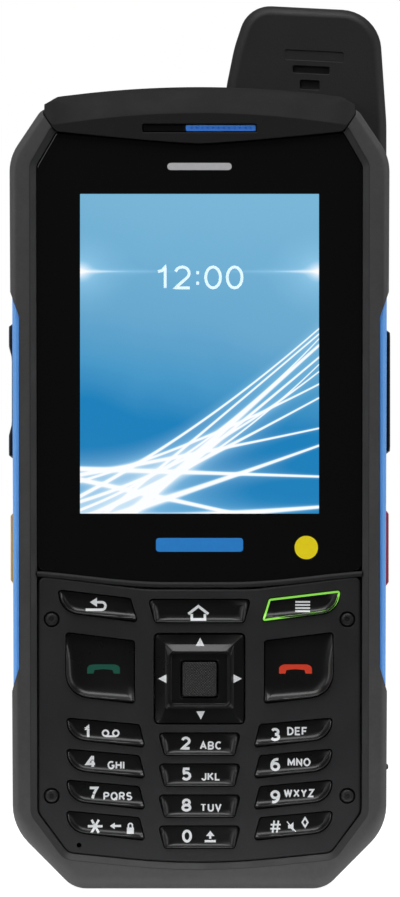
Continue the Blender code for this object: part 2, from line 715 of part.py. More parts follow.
def antenna():
    paddle = [outline(ANTENNA, longest_step=3.0)]
    shell = slab("antenna_shell", paddle, ANTENNA_FRONT, ANTENNA_BACK, front=1.5, back=1.5, segments=2)
    element = [
        (8.6, 112.3, 0.0), (12.4, 112.3, 0.0), (12.4, 122.6, 0.0), (26.6, 122.6, 0.5), (26.6, 141.6, 2.0),
        (11.0, 142.6, 2.0), (8.6, 135.0, 2.0),
    ]
    x, z = ANTENNA_SCREW
    pocket = [(px, pz if pz > 115 else pz - 3.0, radius) for px, pz, radius in inset(element, -0.4)]
    # Grooves: both x, both z, and depth.
    steps = (
        (14.5, 24.3, 139.6, 141.2, 0.35),
        (15.8, 22.0, 137.4, 138.6, 0.8),
        (17.0, 20.3, 134.7, 136.2, 0.8),
    )
    cutters = [
        cut_slab("element_pocket", [outline(pocket)], 6.6, 8.4),
        cut_cylinder("antenna_screw_hole", (x, 0.0, z), (x, 14.0, z), SCREW_HOLE_R),
        cut_cylinder("antenna_screw_head", (x, 10.7, z), (x, 14.0, z), 2.0),
    ]
    for i, (x_low, x_high, z_low, z_high, deep) in enumerate(steps):
        groove = rectangle((x_low, z_low), (x_high, z_high), 0.3)
        cutters.append(cut_slab(f"antenna_step_{i}", [outline(groove)], 0.0, ANTENNA_FRONT + deep))
    board = slab("antenna_element", [outline(element)], 7.0, 8.0)
    return [paint(cut(shell, *cutters), "rubber"), paint(board, "gold")]


def rear_screw(name, x, z, head_y, tip_y):
    head = slab(name, [circle(x, z, 1.8)], head_y, head_y + 0.9, back=0.25)
    fuse(head, cylinder(name + "_shank", (x, tip_y, z), (x, head_y + 0.4, z), SCREW_R, CUTTERS, 12))
    cut(head, cut_slab(name + "_socket", [circle(x, z, 0.8, 6)], head_y + 0.4, head_y + 2.0))
    return paint(head, "dark_steel")


# ---- rear ----------------------------------------------------------------------------------------

COVER = mirrored(((18.8, 7.6, 2.0), (26.0, 14.6, 2.0), (26.0, 91.8, 2.5)))
CAMERA_WINDOW = rectangle((CAMERA_X - 5.0, 102.4), (CAMERA_X + 5.0, 118.4), 4.9)


def battery_cover():
    cover = slab("battery_cover", [outline(COVER)], Y_COVER, HALF_DEPTH, back=0.4)
    cutters = [cut_box("cover_relief", (-22.4, 9.0, 22.2), (22.4, 10.9, 79.8))]
    for side in (-1, 1):
        x = side * LATCH_X
        outside = (x, 14.0, LATCH_Z)
        cutters.append(cut_cylinder(f"cover_bore_{side + 1}", (x, 9.0, LATCH_Z), outside, 1.4))
        cutters.append(cut_cylinder(f"cover_sink_{side + 1}", (x, 11.0, LATCH_Z), outside, 3.5, 28))
    grooves = [outline(rectangle((-17.0, z - 0.6), (17.0, z + 0.6), 0.5)) for z in GRIP_GROOVE_ZS]
    cutters.append(cut_slab("grip_grooves", grooves, 12.0, 14.0))
    return paint(cut(cover, *cutters), "bumper")


def cover_latch(label, side):
    """A captive quarter-turn screw with a coin slot."""
    x = side * LATCH_X
    axis = (x, 0.0, LATCH_Z)
    inner, outer = (x, 11.25, LATCH_Z), (x, 12.3, LATCH_Z)
    head = cylinder(f"cover_latch_{label}", inner, outer, 3.2, segments=28, origin=axis)
    shank = cylinder(f"latch_shank_{label}", (x, 6.9, LATCH_Z), (x, 11.6, LATCH_Z), 1.2, CUTTERS, 16)
    slot = cut_box(f"latch_slot_{label}", (x - 4, 11.7, LATCH_Z - 0.5), (x + 4, 13, LATCH_Z + 0.5))
    return paint(cut(fuse(head, shank), slot), "steel")


def battery():
    low, high = BATTERY
    pack = box("battery", low, high)
    bevel = pack.modifiers.new("edge_bevel", "BEVEL")
    bevel.width = 0.8 * MM
    bevel.segments = 2
    contacts = box("battery_contacts", (-5.0, 2.4, 80.4), (5.0, 6.0, 83.1))
    return [paint(pack, "battery"), paint(contacts, "gold")]


def camera():
    window = slab("camera_window", [outline(CAMERA_WINDOW)], 11.25, 12.3, back=0.15)
    half = 4.3
    low, high = (CAMERA_X - half, 3.5, CAMERA_Z - half), (CAMERA_X + half, 9.0, CAMERA_Z + half)
    module = box("camera_module", low, high)
    inner, outer = (CAMERA_X, 8.5, CAMERA_Z), (CAMERA_X, 10.9, CAMERA_Z)
    barrel = cylinder("camera_barrel", inner, outer, 3.0, CUTTERS, 20)
    return [paint(window, "glass"), paint(fuse(module, barrel), "battery")]


# ---- electronics ---------------------------------------------------------------------------------


def electronics():
    board = mirrored(
        ((18.4, 8.0, 1.0), (22.6, 12.6, 1.0), (22.6, 119.0, 1.0), (20.4, 122.4, 1.0))
    )
    chassis = mirrored(((18.0, 8.6, 1.0), (22.2, 13.0, 1.0), (22.2, 118.6, 1.0), (20.0, 121.9, 1.0)))
    port_y, port_z = PORT_CENTRE
    main_board = slab("main_board", [outline(board)], -6.9, -5.9)
    cut(main_board, cut_box("board_port_notch", (21.0, -8, port_z - 4.8), (30, -4, port_z + 4.8)))
    window = outline(rectangle((-16.0, 60.0), (16.0, 112.0), 2.0))
    frame = slab("chassis_frame", [outline(chassis), window], -5.5, -4.7)
    cut(frame, cut_box("chassis_port_notch", (20.8, -8, port_z - 4.9), (30, -4, port_z + 4.9)))
    shell_low, shell_high = (21.4, port_y - 1.45, port_z - 4.45), (28.8, port_y + 1.45, port_z + 4.45)
    mouth_low, mouth_high = (24.0, port_y - 1.15, port_z - 4.1), (30, port_y + 1.15, port_z + 4.1)
    connector = box("port_connector", shell_low, shell_high)
    cut(connector, cut_box("port_mouth", mouth_low, mouth_high))
    tongue_low, tongue_high = (23.5, port_y - 0.3, port_z - 3.2), (28.2, port_y + 0.3, port_z + 3.2)
    tongue = box("port_tongue", tongue_low, tongue_high, CUTTERS)
    mat = mirrored(((19.6, 6.8, 1.0), (22.7, 11.2, 1.0), (22.7, 51.6, 1.0)))
    domes = mirrored(((19.4, 7.2, 1.0), (22.4, 11.4, 1.0), (22.4, 51.2, 1.0)))
    speaker = rectangle((5.4, 95.4), (23.6, 108.2), 2.0)
    motor_ends = (-17.5, -4.3, 100.0), (-17.5, -1.3, 100.0)
    return [
        paint(main_board, "board"),
        paint(frame, "magnesium"),
        paint(fuse(connector, tongue), "steel"),
        paint(box("lcd_module", (-21.8, -9.8, 60.2), (21.8, -7.3, 118.8)), "display"),
        paint(slab("key_mat", [outline(mat)], -8.5, -7.7), "silicone"),
        paint(slab("dome_sheet", [outline(domes)], -7.4, -7.2), "steel"),
        paint(slab("loudspeaker", [outline(speaker)], 5.6, 10.1), "battery"),
        paint(box("earpiece_receiver", (-6.0, -8.5, 123.4), (6.0, -6.1, 126.6)), "steel"),
        paint(cylinder("vibration_motor", *motor_ends, 4.0, segments=24), "steel"),
    ]


# ---- assembly ------------------------------------------------------------------------------------


def shade(obj):
    obj.data.shade_smooth()
    obj.data.set_sharp_from_angle(angle=math.radians(35))


def build():
    front_housing()
    rear_housing()
    housing_seal()
    top_hood()
    slot_inserts()
    side_strip("left", -1, (VOLUME_SPAN, AMBER_SPAN))
    side_strip("right", 1, (PTT_SPAN, RED_SPAN))
    display_lens()
    keypad_plate()
    keypad_screws()
    key_caps()
    navigation_cluster()
    side_keys()
    port_flap()
    antenna()
    rear_screw("antenna_screw", *ANTENNA_SCREW, head_y=11.0, tip_y=0.2)
    rear_screw("rear_case_screw", *REAR_SCREW, head_y=11.3, tip_y=-3.5)
    battery_cover()
    cover_latch("left", -1)
    cover_latch("right", 1)
    battery()
    camera()
    electronics()
    phone = bpy.data.objects.new("phone", None)
    PARTS.objects.link(phone)
    for obj in PARTS.objects:
        if obj is not phone:
            obj.parent = phone
            shade(obj)


build()
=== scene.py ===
"""The looks of a rugged keypad phone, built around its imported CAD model.

The phone stands on its bottom edge, with its front facing -Y. Lengths are in millimetres until MM turns them
into metres. Each building function makes one sub-part. Its dress() call says which CAD body the piece rides
on, and which node it stands for.
"""

import math

import bmesh
import bpy
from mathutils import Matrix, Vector
from mathutils.bvhtree import BVHTree

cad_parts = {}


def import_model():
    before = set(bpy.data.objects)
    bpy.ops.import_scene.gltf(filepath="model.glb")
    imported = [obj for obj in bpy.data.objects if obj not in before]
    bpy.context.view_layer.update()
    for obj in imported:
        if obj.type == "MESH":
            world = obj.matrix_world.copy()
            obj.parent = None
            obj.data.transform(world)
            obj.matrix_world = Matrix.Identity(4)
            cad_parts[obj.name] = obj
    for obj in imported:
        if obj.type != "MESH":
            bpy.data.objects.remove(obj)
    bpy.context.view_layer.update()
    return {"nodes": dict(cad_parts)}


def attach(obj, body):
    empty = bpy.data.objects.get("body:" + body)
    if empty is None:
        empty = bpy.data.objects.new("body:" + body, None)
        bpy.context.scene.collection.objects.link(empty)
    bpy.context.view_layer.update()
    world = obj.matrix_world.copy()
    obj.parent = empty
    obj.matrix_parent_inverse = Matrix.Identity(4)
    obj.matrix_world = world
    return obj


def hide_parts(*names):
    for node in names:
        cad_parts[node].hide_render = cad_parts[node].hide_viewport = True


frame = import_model()

MM = 0.001

# ---- sizes that several pieces share ----------------------------------------

HALF_DEPTH = 12.5
CROWN = 134.7
TOP_EDGE = 131.0
Y_RECESS = -11.6
Y_PLATE = -11.72
Y_PARTING_FRONT = -0.21
Y_PARTING_REAR = -0.19
NUMBER_PITCH = 5.2
NAV_Z = 35.3
SLOT_Z = 127.6
STRIP_INNER = 30.3
KEY_FRONT = -12.15
KEY_BACK = -9.3
KEY_EDGE = 0.16
NAV_HALF = 7.6
SCREW_PLACES = [(side * 24.8, z) for z in (45.25, 15.65) for side in (-1, 1)]
SCREEN_HALF_WIDTH = 20.03
SCREEN_Z = (63.0, 116.6)
SIDE_GLOW_Z = 103.6
PARTING_GROOVE = (0.25, 0.35)
CAMERA_X = -9.0
CAMERA_Z = 113.2
FLASH_Z = 105.8
LATCH_X = 18.5
LATCH_Z = 14.5
ANTENNA_SCREW = (18.0, 117.5)
CASE_SCREW = (-24.8, 118.0)
# The lower and upper end of each side key.
ROCKER_SPAN = (71.9, 95.3)
AMBER_SPAN = (50.8, 63.4)
TALK_SPAN = (72.7, 94.2)
RED_SPAN = (50.4, 63.8)
SPEAKER_SLOT_XS = (6.9, 10.7, 14.5, 18.3, 22.1)
GRIP_GROOVE_ZS = (34, 40, 46, 52, 58, 64, 70)

# Corners are (x, z, radius). Corners on x = 0 with no turn keep facing outlines in step.
BODY_HALF = [(0, 0, 0), (21.1, 0, 5), (31.35, 10.3, 9), (31.9, 122.8, 8), (26.4, TOP_EDGE, 2.4),
             (0, TOP_EDGE, 0)]
LENS_TOP = [(27.3, 121.3, 1.5), (24.05, 126.9, 0.5), (0, 124.8, 40)]
RECESS_HALF = [(0, 3.9, 120), (22.05, 6.15, 2), (27.1, 12.9, 2), *LENS_TOP]
LENS_HALF = [(0, 49.2, 150), (27.2, 53.65, 1.2), *LENS_TOP]
PLATE_HALF = [(0, 3.9, 120), (22.05, 6.15, 2), (27, 12.9, 2), (27, 52.6, 1.2), (9, 50.35, 20)]
HOOD_HALF = [(0, 124.9, 40), (24.2, 127.1, 0.4), (26.1, 129.9, 0.5), (26.1, 132.1, 1),
             (23.5, 133, 3), (0, 2 * CROWN - 133, 160)]
COVER_HALF = [(18.8, 7.6, 2), (26, 14.6, 2), (26, 91.8, 2.5)]
ANTENNA = [(4.4, 111.5, 1), (31.7, 111.5, 2), (31.7, 129, 40), (30.4, 148, 7), (8.3, 149.1, 5.2),
           (5.9, 141.9, 25), (4.4, 134.5, 20)]
CAMERA_OUTLINE = [(-14, 102.4, 4.9), (-4, 102.4, 4.9), (-4, 118.4, 4.9), (-14, 118.4, 4.9)]

# The keys' outlines. Outer keys are drawn as they lie on the left, and flipped for the right.
SOFT_KEY = [(-23.8, 50.2, 0.5), (-22.9, 46.55, 3.4), (-10.4, 44.85, 0.4), (-11.6, 48.75, 0.6)]
CALL_KEY = [(-22.4, 43.05, 0.5), (-22.3, 32.6, 4), (-10.9, 31.2, 0.5), (-10.9, 41.65, 0.5)]
NUMBER_KEY = [(-22.3, 28.7, 0.5), (-21.9, 25.3, 3.4), (-9.2, 23.85, 0.4), (-10.1, 27.6, 0.6)]
HOME_KEY = [(-8.6, 48.6, 0.6), (-7.4, 44.8, 0.4), (7.4, 44.8, 0.4), (8.6, 48.6, 0.6)]
MIDDLE_KEY = [(-6.9, 26.2, 0.6), (-5.8, 22.55, 0.4), (5.8, 22.55, 0.4), (6.9, 26.2, 0.6)]


# ---- outlines ----------------------------------------


def smooth(value, low, high):
    """0 below low, 1 above high, and an S-curve between."""
    share = min(1.0, max(0.0, (value - low) / (high - low)))
    return share * share * (3 - 2 * share)


def lerp(a, b, share):
    return a + (b - a) * share


def mirrored(half):
    """The whole outline, from its right half."""
    left = [(-x, z, radius) for x, z, radius in reversed(half) if x > 0]
    return list(half) + left


def flipped(corners):
    return [(-x, z, radius) for x, z, radius in reversed(corners)]


def raised(corners, dz):
    return [(x, z + dz, radius) for x, z, radius in corners]


def rectangle(low, high, radius=0.0):
    (left, bottom), (right, top) = low, high
    return [(left, bottom, radius), (right, bottom, radius), (right, top, radius), (left, top, radius)]


def circle_corners(x, z, radius):
    """A circle as a square of four corners rounded all the way."""
    return rectangle((x - radius, z - radius), (x + radius, z + radius), radius * 0.9999)


def winding(corners):
    points = [c[:2] for c in corners]
    area = sum(a[0] * b[1] - b[0] * a[1] for a, b in zip(points, points[1:] + points[:1]))
    return math.copysign(1.0, area)


def inset(corners, distance):
    """The outline moved inwards by distance, or outwards where it is negative."""
    points = [Vector(c[:2]) for c in corners]
    side = winding(corners)
    moved = []
    for i, corner in enumerate(corners):
        before, here, after = points[i - 1], points[i], points[(i + 1) % len(points)]
        first, second = (here - before).normalized(), (after - here).normalized()
        normal_1, normal_2 = (Vector((-d.y, d.x)) * side for d in (first, second))
        place = here + (normal_1 + normal_2) * (distance / (1.0 + normal_1.dot(normal_2)))
        convex = first.cross(second) * side > 0
        radius = corner[2] - distance if convex else corner[2] + distance
        moved.append((place.x, place.y, max(0.03, radius)))
    return moved


def ring(corners, arc_steps=6, run_steps=1):
    """Points round an outline, always the same number for the same number of corners.

    Two arcs that don't both fit on the edge between them are made smaller, so the loop never crosses itself.
    """
    count = len(corners)
    points = [Vector(c[:2]) for c in corners]
    forward = [(points[(i + 1) % count] - points[i]).normalized() for i in range(count)]
    turns = [forward[i - 1].angle(forward[i]) for i in range(count)]
    reaches = [max(corner[2], 0.02) * math.tan(turn / 2) if turn > 0.01 else 1.5
               for corner, turn in zip(corners, turns)]
    lengths = [(points[(i + 1) % count] - points[i]).length for i in range(count)]
    fits = [min(1.0, 0.96 * lengths[i] / (reaches[i] + reaches[(i + 1) % count])) for i in range(count)]
    arcs = []
    for i, here in enumerate(points):
        before, after, turn = -forward[i - 1], forward[i], turns[i]
        reach = reaches[i] * min(fits[i - 1], fits[i])
        if turn < 0.01:
            arcs.append([here + before * reach * (1 - 2 * k / arc_steps) for k in range(arc_steps + 1)])
            continue
        start, end = here + before * reach, here + after * reach
        centre = here + (before + after).normalized() * (reach / math.sin(turn / 2))
        first, last = start - centre, end - centre
        arc = []
        for step in range(arc_steps + 1):
            share = step / arc_steps
            spoke = first * math.sin(turn * (1 - share)) + last * math.sin(turn * share)
            arc.append(centre + spoke / math.sin(turn))
        arcs.append(arc)
    points = []
    for arc, following in zip(arcs, arcs[1:] + arcs[:1]):
        points += arc
        for step in range(1, run_steps):
            points.append(arc[-1].lerp(following[0], step / run_steps))
    return points


def at_depth(points, y):
    return [(p[0], y, p[1]) for p in points]


def blended(first, second, share):
    """Points between two rings. share is a number, or a function of the first ring's point."""
    amount = share if callable(share) else lambda p: share
    return [p.lerp(q, amount(p)) for p, q in zip(first, second)]


# ---- meshes ----------------------------------------


def new_object(name, mesh):
    obj = bpy.data.objects.new(name, mesh)
    bpy.context.scene.collection.objects.link(obj)
    return obj


def finished(name, shape):
    """The object of a worked mesh, its faces turned outwards."""
    bmesh.ops.recalc_face_normals(shape, faces=shape.faces)
    mesh = bpy.data.meshes.new(name)
    shape.to_mesh(mesh)
    shape.free()
    return new_object(name, mesh)


def loft(name, rings, closed=False):
    """A skin over rings of (x, y, z) points, capped at both ends or closed into a tube round itself."""
    shape = bmesh.new()
    rows = [[shape.verts.new(Vector(p) * MM) for p in points] for points in rings]
    pairs = list(zip(rows, rows[1:])) + ([(rows[-1], rows[0])] if closed else [])
    for near, far in pairs:
        for i in range(len(near)):
            j = (i + 1) % len(near)
            shape.faces.new((near[i], near[j], far[j], far[i]))
    if not closed:
        shape.faces.new(rows[0])
        shape.faces.new(rows[-1][::-1])
    return finished(name, shape)


def layers(corners, steps, arc_steps=6, run_steps=1):
    """Rings of one outline, one for each (inset, depth) pair."""
    rings = []
    for amount, y in steps:
        outline = inset(corners, amount) if amount else corners
        rings.append(at_depth(ring(outline, arc_steps, run_steps), y))
    return rings


def slab(name, corners, *steps):
    """A solid through the (inset, depth) steps of an outline."""
    return loft(name, layers(corners, steps))


def turned(name, x, z, profile, arc_steps=6, closed=False):
    """A round solid, or a tube, along a (radius, depth) profile."""
    rings = [at_depth(ring(circle_corners(x, z, radius), arc_steps), y) for radius, y in profile]
    return loft(name, rings, closed)


def quarter_turn(steps):
    """Evenly spaced angles from 0 to a right angle."""
    return [math.pi / 2 * k / steps for k in range(steps + 1)]


def quarter(width, depth, steps):
    """(inset, distance from the face) pairs from the side to the face, along a quarter ellipse."""
    return [(width * (1 - math.cos(t)), depth * (1 - math.sin(t))) for t in quarter_turn(steps)]


def rounded_slab(name, corners, y_low, y_high, front=(0.15, 0.15), back=(0.15, 0.15), steps=4, arc_steps=6):
    """An outline in the XZ plane from y_low to y_high, its rims rounded by (inset, depth) at each end."""
    near = [(amount, y_low + depth) for amount, depth in reversed(quarter(*front, steps))]
    far = [(amount, y_high - depth) for amount, depth in quarter(*back, steps)]
    return loft(name, layers(corners, near + far, arc_steps))


def block(name, low, high):
    """A box between two (x, y, z) corners."""
    outline = rectangle((low[0], low[2]), (high[0], high[2]))
    return loft(name, layers(outline, ((0, low[1]), (0, high[1])), 1))


def rod(name, start, end, radius, segments=32):
    """A round bar between two points."""
    start, end = Vector(start), Vector(end)
    across = (end - start).orthogonal().normalized()
    up = (end - start).normalized().cross(across)
    turns = [2 * math.pi * k / segments for k in range(segments)]
    rings = [[c + (across * math.cos(t) + up * math.sin(t)) * radius for t in turns] for c in (start, end)]
    return loft(name, rings)


def evaluated_mesh(obj):
    """The mesh of an object with its modifiers applied."""
    bpy.context.view_layer.update()
    graph = bpy.context.evaluated_depsgraph_get()
    return bpy.data.meshes.new_from_object(obj.evaluated_get(graph))


def boolean(obj, others, operation="DIFFERENCE"):
    """obj with the others cut away from it, or joined to it. The others are used up."""
    for other in others:
        modifier = obj.modifiers.new("boolean", "BOOLEAN")
        modifier.operation = operation
        modifier.object = other
    mesh = evaluated_mesh(obj)
    obj.modifiers.clear()
    obj.data = mesh
    for other in others:
        bpy.data.objects.remove(other)
    return obj


def shade(obj, angle):
    obj.data.shade_smooth()
    obj.data.set_sharp_from_angle(angle=math.radians(angle))
    weighted = obj.modifiers.new("weighted", "WEIGHTED_NORMAL")
    weighted.keep_sharp = True


def dress(obj, body, slot, look, *replaced, angle=32):
    """Finishes a piece: its look or looks, shading, body, and the CAD nodes it stands for. slot is not used.
    """
    while len(obj.data.materials):
        obj.data.materials.pop()
    for name in look if isinstance(look, tuple) else (look,):
        obj.data.materials.append(MATERIALS[name])
    shade(obj, angle)
    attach(obj, body)
    if replaced:
        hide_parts(*replaced)
    return obj


# ---- materials ----------------------------------------


class Graph:
    """A material's node tree, with short calls for the nodes that repeat."""

    def __init__(self, name):
        self.material = bpy.data.materials.new(name)
        self.material.use_nodes = True
        self.tree = self.material.node_tree
        self.shader = self.tree.nodes["Principled BSDF"]
        self.coords = self.tree.nodes.new("ShaderNodeTexCoord").outputs["Object"]

    def link(self, value, socket):
        if isinstance(value, bpy.types.NodeSocket):
            self.tree.links.new(value, socket)
        else:
            socket.default_value = value

    def set(self, **sockets):
        """Sets or links the shader's inputs, with _ for each space in their names."""
        for socket, value in sockets.items():
            self.link(value, self.shader.inputs[socket.replace("_", " ")])

    def node(self, kind, *values, **sockets):
        """A new node, with its first inputs taken from values and other inputs given by name."""
        node = self.tree.nodes.new(kind)
        for value, socket in zip(values, node.inputs):
            self.link(value, socket)
        for socket, value in sockets.items():
            self.link(value, node.inputs[socket])
        return node

    def math(self, operation, *values):
        node = self.node("ShaderNodeMath", *values)
        node.operation = operation
        return node.outputs[0]

    def add(self, first, second):
        return self.math("ADD", first, second)

    def minus(self, first, second):
        return self.math("SUBTRACT", first, second)

    def times(self, first, second):
        return self.math("MULTIPLY", first, second)

    def over(self, first, second):
        return self.math("DIVIDE", first, second)

    def noise(self, size_mm, detail=2.0, roughness=0.5):
        scale = 1.0 / (size_mm * MM)
        noise = self.node("ShaderNodeTexNoise", self.coords, Scale=scale, Detail=detail, Roughness=roughness)
        return noise.outputs["Fac"]

    def remap(self, value, from_low, from_high, to_low=0.0, to_high=1.0):
        return self.node("ShaderNodeMapRange", value, from_low, from_high, to_low, to_high).outputs["Result"]

    def mix(self, share, first, second):
        node = self.tree.nodes.new("ShaderNodeMix")
        node.data_type = "RGBA"
        self.link(share, node.inputs["Factor"])
        # Sockets 6, 7 and 2 are the colour versions of A, B and Result.
        self.link(first, node.inputs[6])
        self.link(second, node.inputs[7])
        return node.outputs[2]

    def ramp(self, value, stops):
        node = self.tree.nodes.new("ShaderNodeValToRGB")
        elements = node.color_ramp.elements
        for i, (place, colour) in enumerate(stops):
            element = elements[i] if i < len(elements) else elements.new(place)
            element.position = place
            element.color = opaque(colour)
        self.link(value, node.inputs["Fac"])
        return node.outputs["Color"]

    def bump(self, height, distance_mm):
        node = self.node("ShaderNodeBump", Distance=distance_mm * MM, Strength=1.0, Height=height)
        self.set(Normal=node.outputs["Normal"])

    def axis(self, name):
        return self.node("ShaderNodeSeparateXYZ", self.coords).outputs[name]


def opaque(colour, share=1.0):
    """A colour, or a share of it, with an alpha of 1."""
    return (*[part * share for part in colour], 1.0)


def rgb(red, green, blue):
    """Linear colour from display values between 0 and 255."""
    shares = [value / 255 for value in (red, green, blue)]
    return tuple(((v + 0.055) / 1.055) ** 2.4 if v * 255 > 10 else v / 12.92 for v in shares)


def moulded(name, colour, roughness, grain=0.22, depth=0.012, mottle=0.12, patches=0.08, **sockets):
    """A moulded surface: fine grain as bump, faint colour mottling, and roughness that varies in patches."""
    g = Graph(name)
    fine = g.noise(grain, detail=3.0)
    broad = g.noise(9.0, detail=4.0, roughness=0.6)
    specks = g.noise(grain * 2.5, detail=1.0)
    share = g.add(g.times(broad, 0.6), g.times(specks, 0.4))
    g.set(Base_Color=g.mix(g.remap(share, 0.3, 0.7), opaque(colour, 1 - mottle), opaque(colour, 1 + mottle)))
    g.set(Roughness=g.remap(broad, 0.3, 0.7, max(0.02, roughness - patches), roughness + patches))
    g.bump(fine, depth)
    g.set(**sockets)
    return g.material


def knurled():
    """The centre key's moulded field of small pips, their tops painted lighter as a highlight."""
    g = Graph("ok_key_knurled")
    pitch = 2 * math.pi / (0.46 * MM)
    waves = [g.math("SINE", g.times(g.axis(axis), pitch)) for axis in ("X", "Z")]
    pips = g.math("MAXIMUM", g.times(*waves), 0.0)
    # The raised pips are tinted lighter, a painted highlight on them, mixed with random tone from noise.
    tone = g.add(g.times(pips, 0.7), g.times(g.noise(0.3), 0.3))
    g.set(Base_Color=g.mix(tone, opaque(rgb(34, 34, 34)), opaque(rgb(58, 58, 58))))
    g.set(Roughness=g.remap(g.noise(2.0), 0.3, 0.7, 0.42, 0.55))
    g.bump(pips, 0.08)
    return g.material


def picture():
    """The lit picture on the screen: a sky-blue gradient, two side glows and a fan of soft light trails."""
    g = Graph("screen_picture")
    x, z = g.axis("X"), g.axis("Z")
    along = g.remap(x, -SCREEN_HALF_WIDTH * MM, SCREEN_HALF_WIDTH * MM)
    up = g.remap(z, SCREEN_Z[0] * MM, SCREEN_Z[1] * MM)
    haze = g.noise(16.0, detail=2.0)
    level = g.add(up, g.times(g.minus(haze, 0.5), 0.14))
    level = g.add(level, g.times(g.minus(along, 0.5), 0.12))
    sky = g.ramp(level, [
        (0.0, rgb(48, 140, 196)), (0.1, rgb(34, 128, 186)), (0.28, rgb(30, 128, 187)),
        (0.42, rgb(72, 152, 200)), (0.6, rgb(104, 168, 207)), (0.8, rgb(114, 176, 212)),
        (1.0, rgb(122, 182, 215)),
    ])
    light = None
    trails = [
        # height at the left and right edge, how far the middle sags, width at the left and right, in mm
        (65.9, 94.0, 1.75, 0.26, 0.13), (59.5, 93.1, 0.1, 0.26, 0.13), (55.3, 91.2, -0.1, 0.85, 0.24),
        (56.5, 89.2, 0.3, 0.40, 0.16), (65.0, 86.8, 2.4, 0.22, 0.12), (68.4, 84.7, 1.1, 0.16, 0.14),
        (61.8, 82.4, 0.3, 0.30, 0.14), (69.5, 77.3, 0.2, 0.26, 0.13), (60.8, 74.4, 0.2, 0.55, 0.17),
        (70.5, 69.2, 0.0, 0.32, 0.17), (68.7, 59.9, 0.0, 0.30, 0.22), (61.6, 64.1, 0.2, 0.80, 0.24),
        (62.4, 88.0, 3.4, 0.18, 0.10), (63.6, 92.3, 3.4, 0.18, 0.10),
    ]
    for left, right, sag, wide, thin in trails:
        bow = g.times(g.times(along, g.minus(1.0, along)), -4 * sag * MM)
        line = g.add(g.times(along, (right - left) * MM), left * MM)
        width = g.add(g.times(along, (thin - wide) * MM), wide * MM)
        off = g.over(g.minus(z, g.add(line, bow)), width)
        square = g.times(off, off)
        core = g.over(1.0, g.add(1.0, g.times(square, square)))
        glow = g.over(0.1, g.add(1.0, g.times(square, 0.02)))
        both = g.add(core, glow)
        light = both if light is None else g.add(light, both)
    light = g.minus(light, 0.12)
    for side in (-1, 1):
        across = g.minus(x, side * SCREEN_HALF_WIDTH * MM)
        above = g.minus(z, SIDE_GLOW_Z * MM)
        reach = g.add(g.times(g.times(across, across), 0.7), g.times(above, above))
        for peak, radius in ((0.62, 0.9), (0.34, 4.6)):
            spread = (radius * MM) ** 2
            light = g.add(light, g.over(peak * spread, g.add(reach, spread)))
        line = g.over(0.16, g.add(1.0, g.times(g.times(above, above), 2.2e7)))
        fade = g.times(g.math("ABSOLUTE", across), -1 / (21 * MM))
        line = g.times(line, g.math("MAXIMUM", g.add(fade, 1.0), 0.0))
        light = g.add(light, g.times(line, 3.0))
    halo = g.remap(light, 0.0, 0.55)
    shown = g.mix(g.times(halo, 0.85), sky, opaque(rgb(158, 214, 246)))
    shown = g.mix(g.remap(light, 0.3, 0.95), shown, opaque(rgb(252, 254, 255)))
    g.set(Emission_Color=shown, Emission_Strength=1.0, Base_Color=(0.0, 0.0, 0.0, 1.0), Roughness=0.08)
    return g.material


def glass(name, colour, roughness=0.02):
    """Polished black glass with a faint smear pattern in its gloss."""
    g = Graph(name)
    smear = g.noise(14.0, detail=5.0, roughness=0.65)
    g.set(Base_Color=opaque(colour), Roughness=g.remap(smear, 0.35, 0.7, roughness, roughness + 0.03))
    g.set(Coat_Weight=0.3, Coat_Roughness=0.03)
    g.bump(g.noise(30.0, detail=1.0), 0.002)
    return g.material


def metal(name, colour, roughness=0.3):
    """Turned or stamped metal: fine streaks in its roughness and small pits."""
    g = Graph(name)
    streaks = g.noise(0.5, detail=4.0)
    pits = g.noise(0.12, detail=2.0)
    g.set(Base_Color=g.mix(streaks, opaque(colour, 0.8), opaque(colour)), Metallic=1.0)
    g.set(Roughness=g.remap(streaks, 0.3, 0.7, roughness - 0.08, roughness + 0.12))
    g.bump(pits, 0.006)
    return g.material


def glowing(name, colour, strength):
    """Ink that shows as lit: backlit legends, the printed marks and the outline round one key."""
    g = Graph(name)
    tone = g.noise(0.6, detail=2.0)
    for socket in ("Base_Color", "Emission_Color"):
        g.set(**{socket: g.mix(tone, opaque(colour, 0.86), opaque(colour))})
    g.set(Emission_Strength=strength, Roughness=0.5)
    g.bump(g.noise(0.2), 0.004)
    return g.material


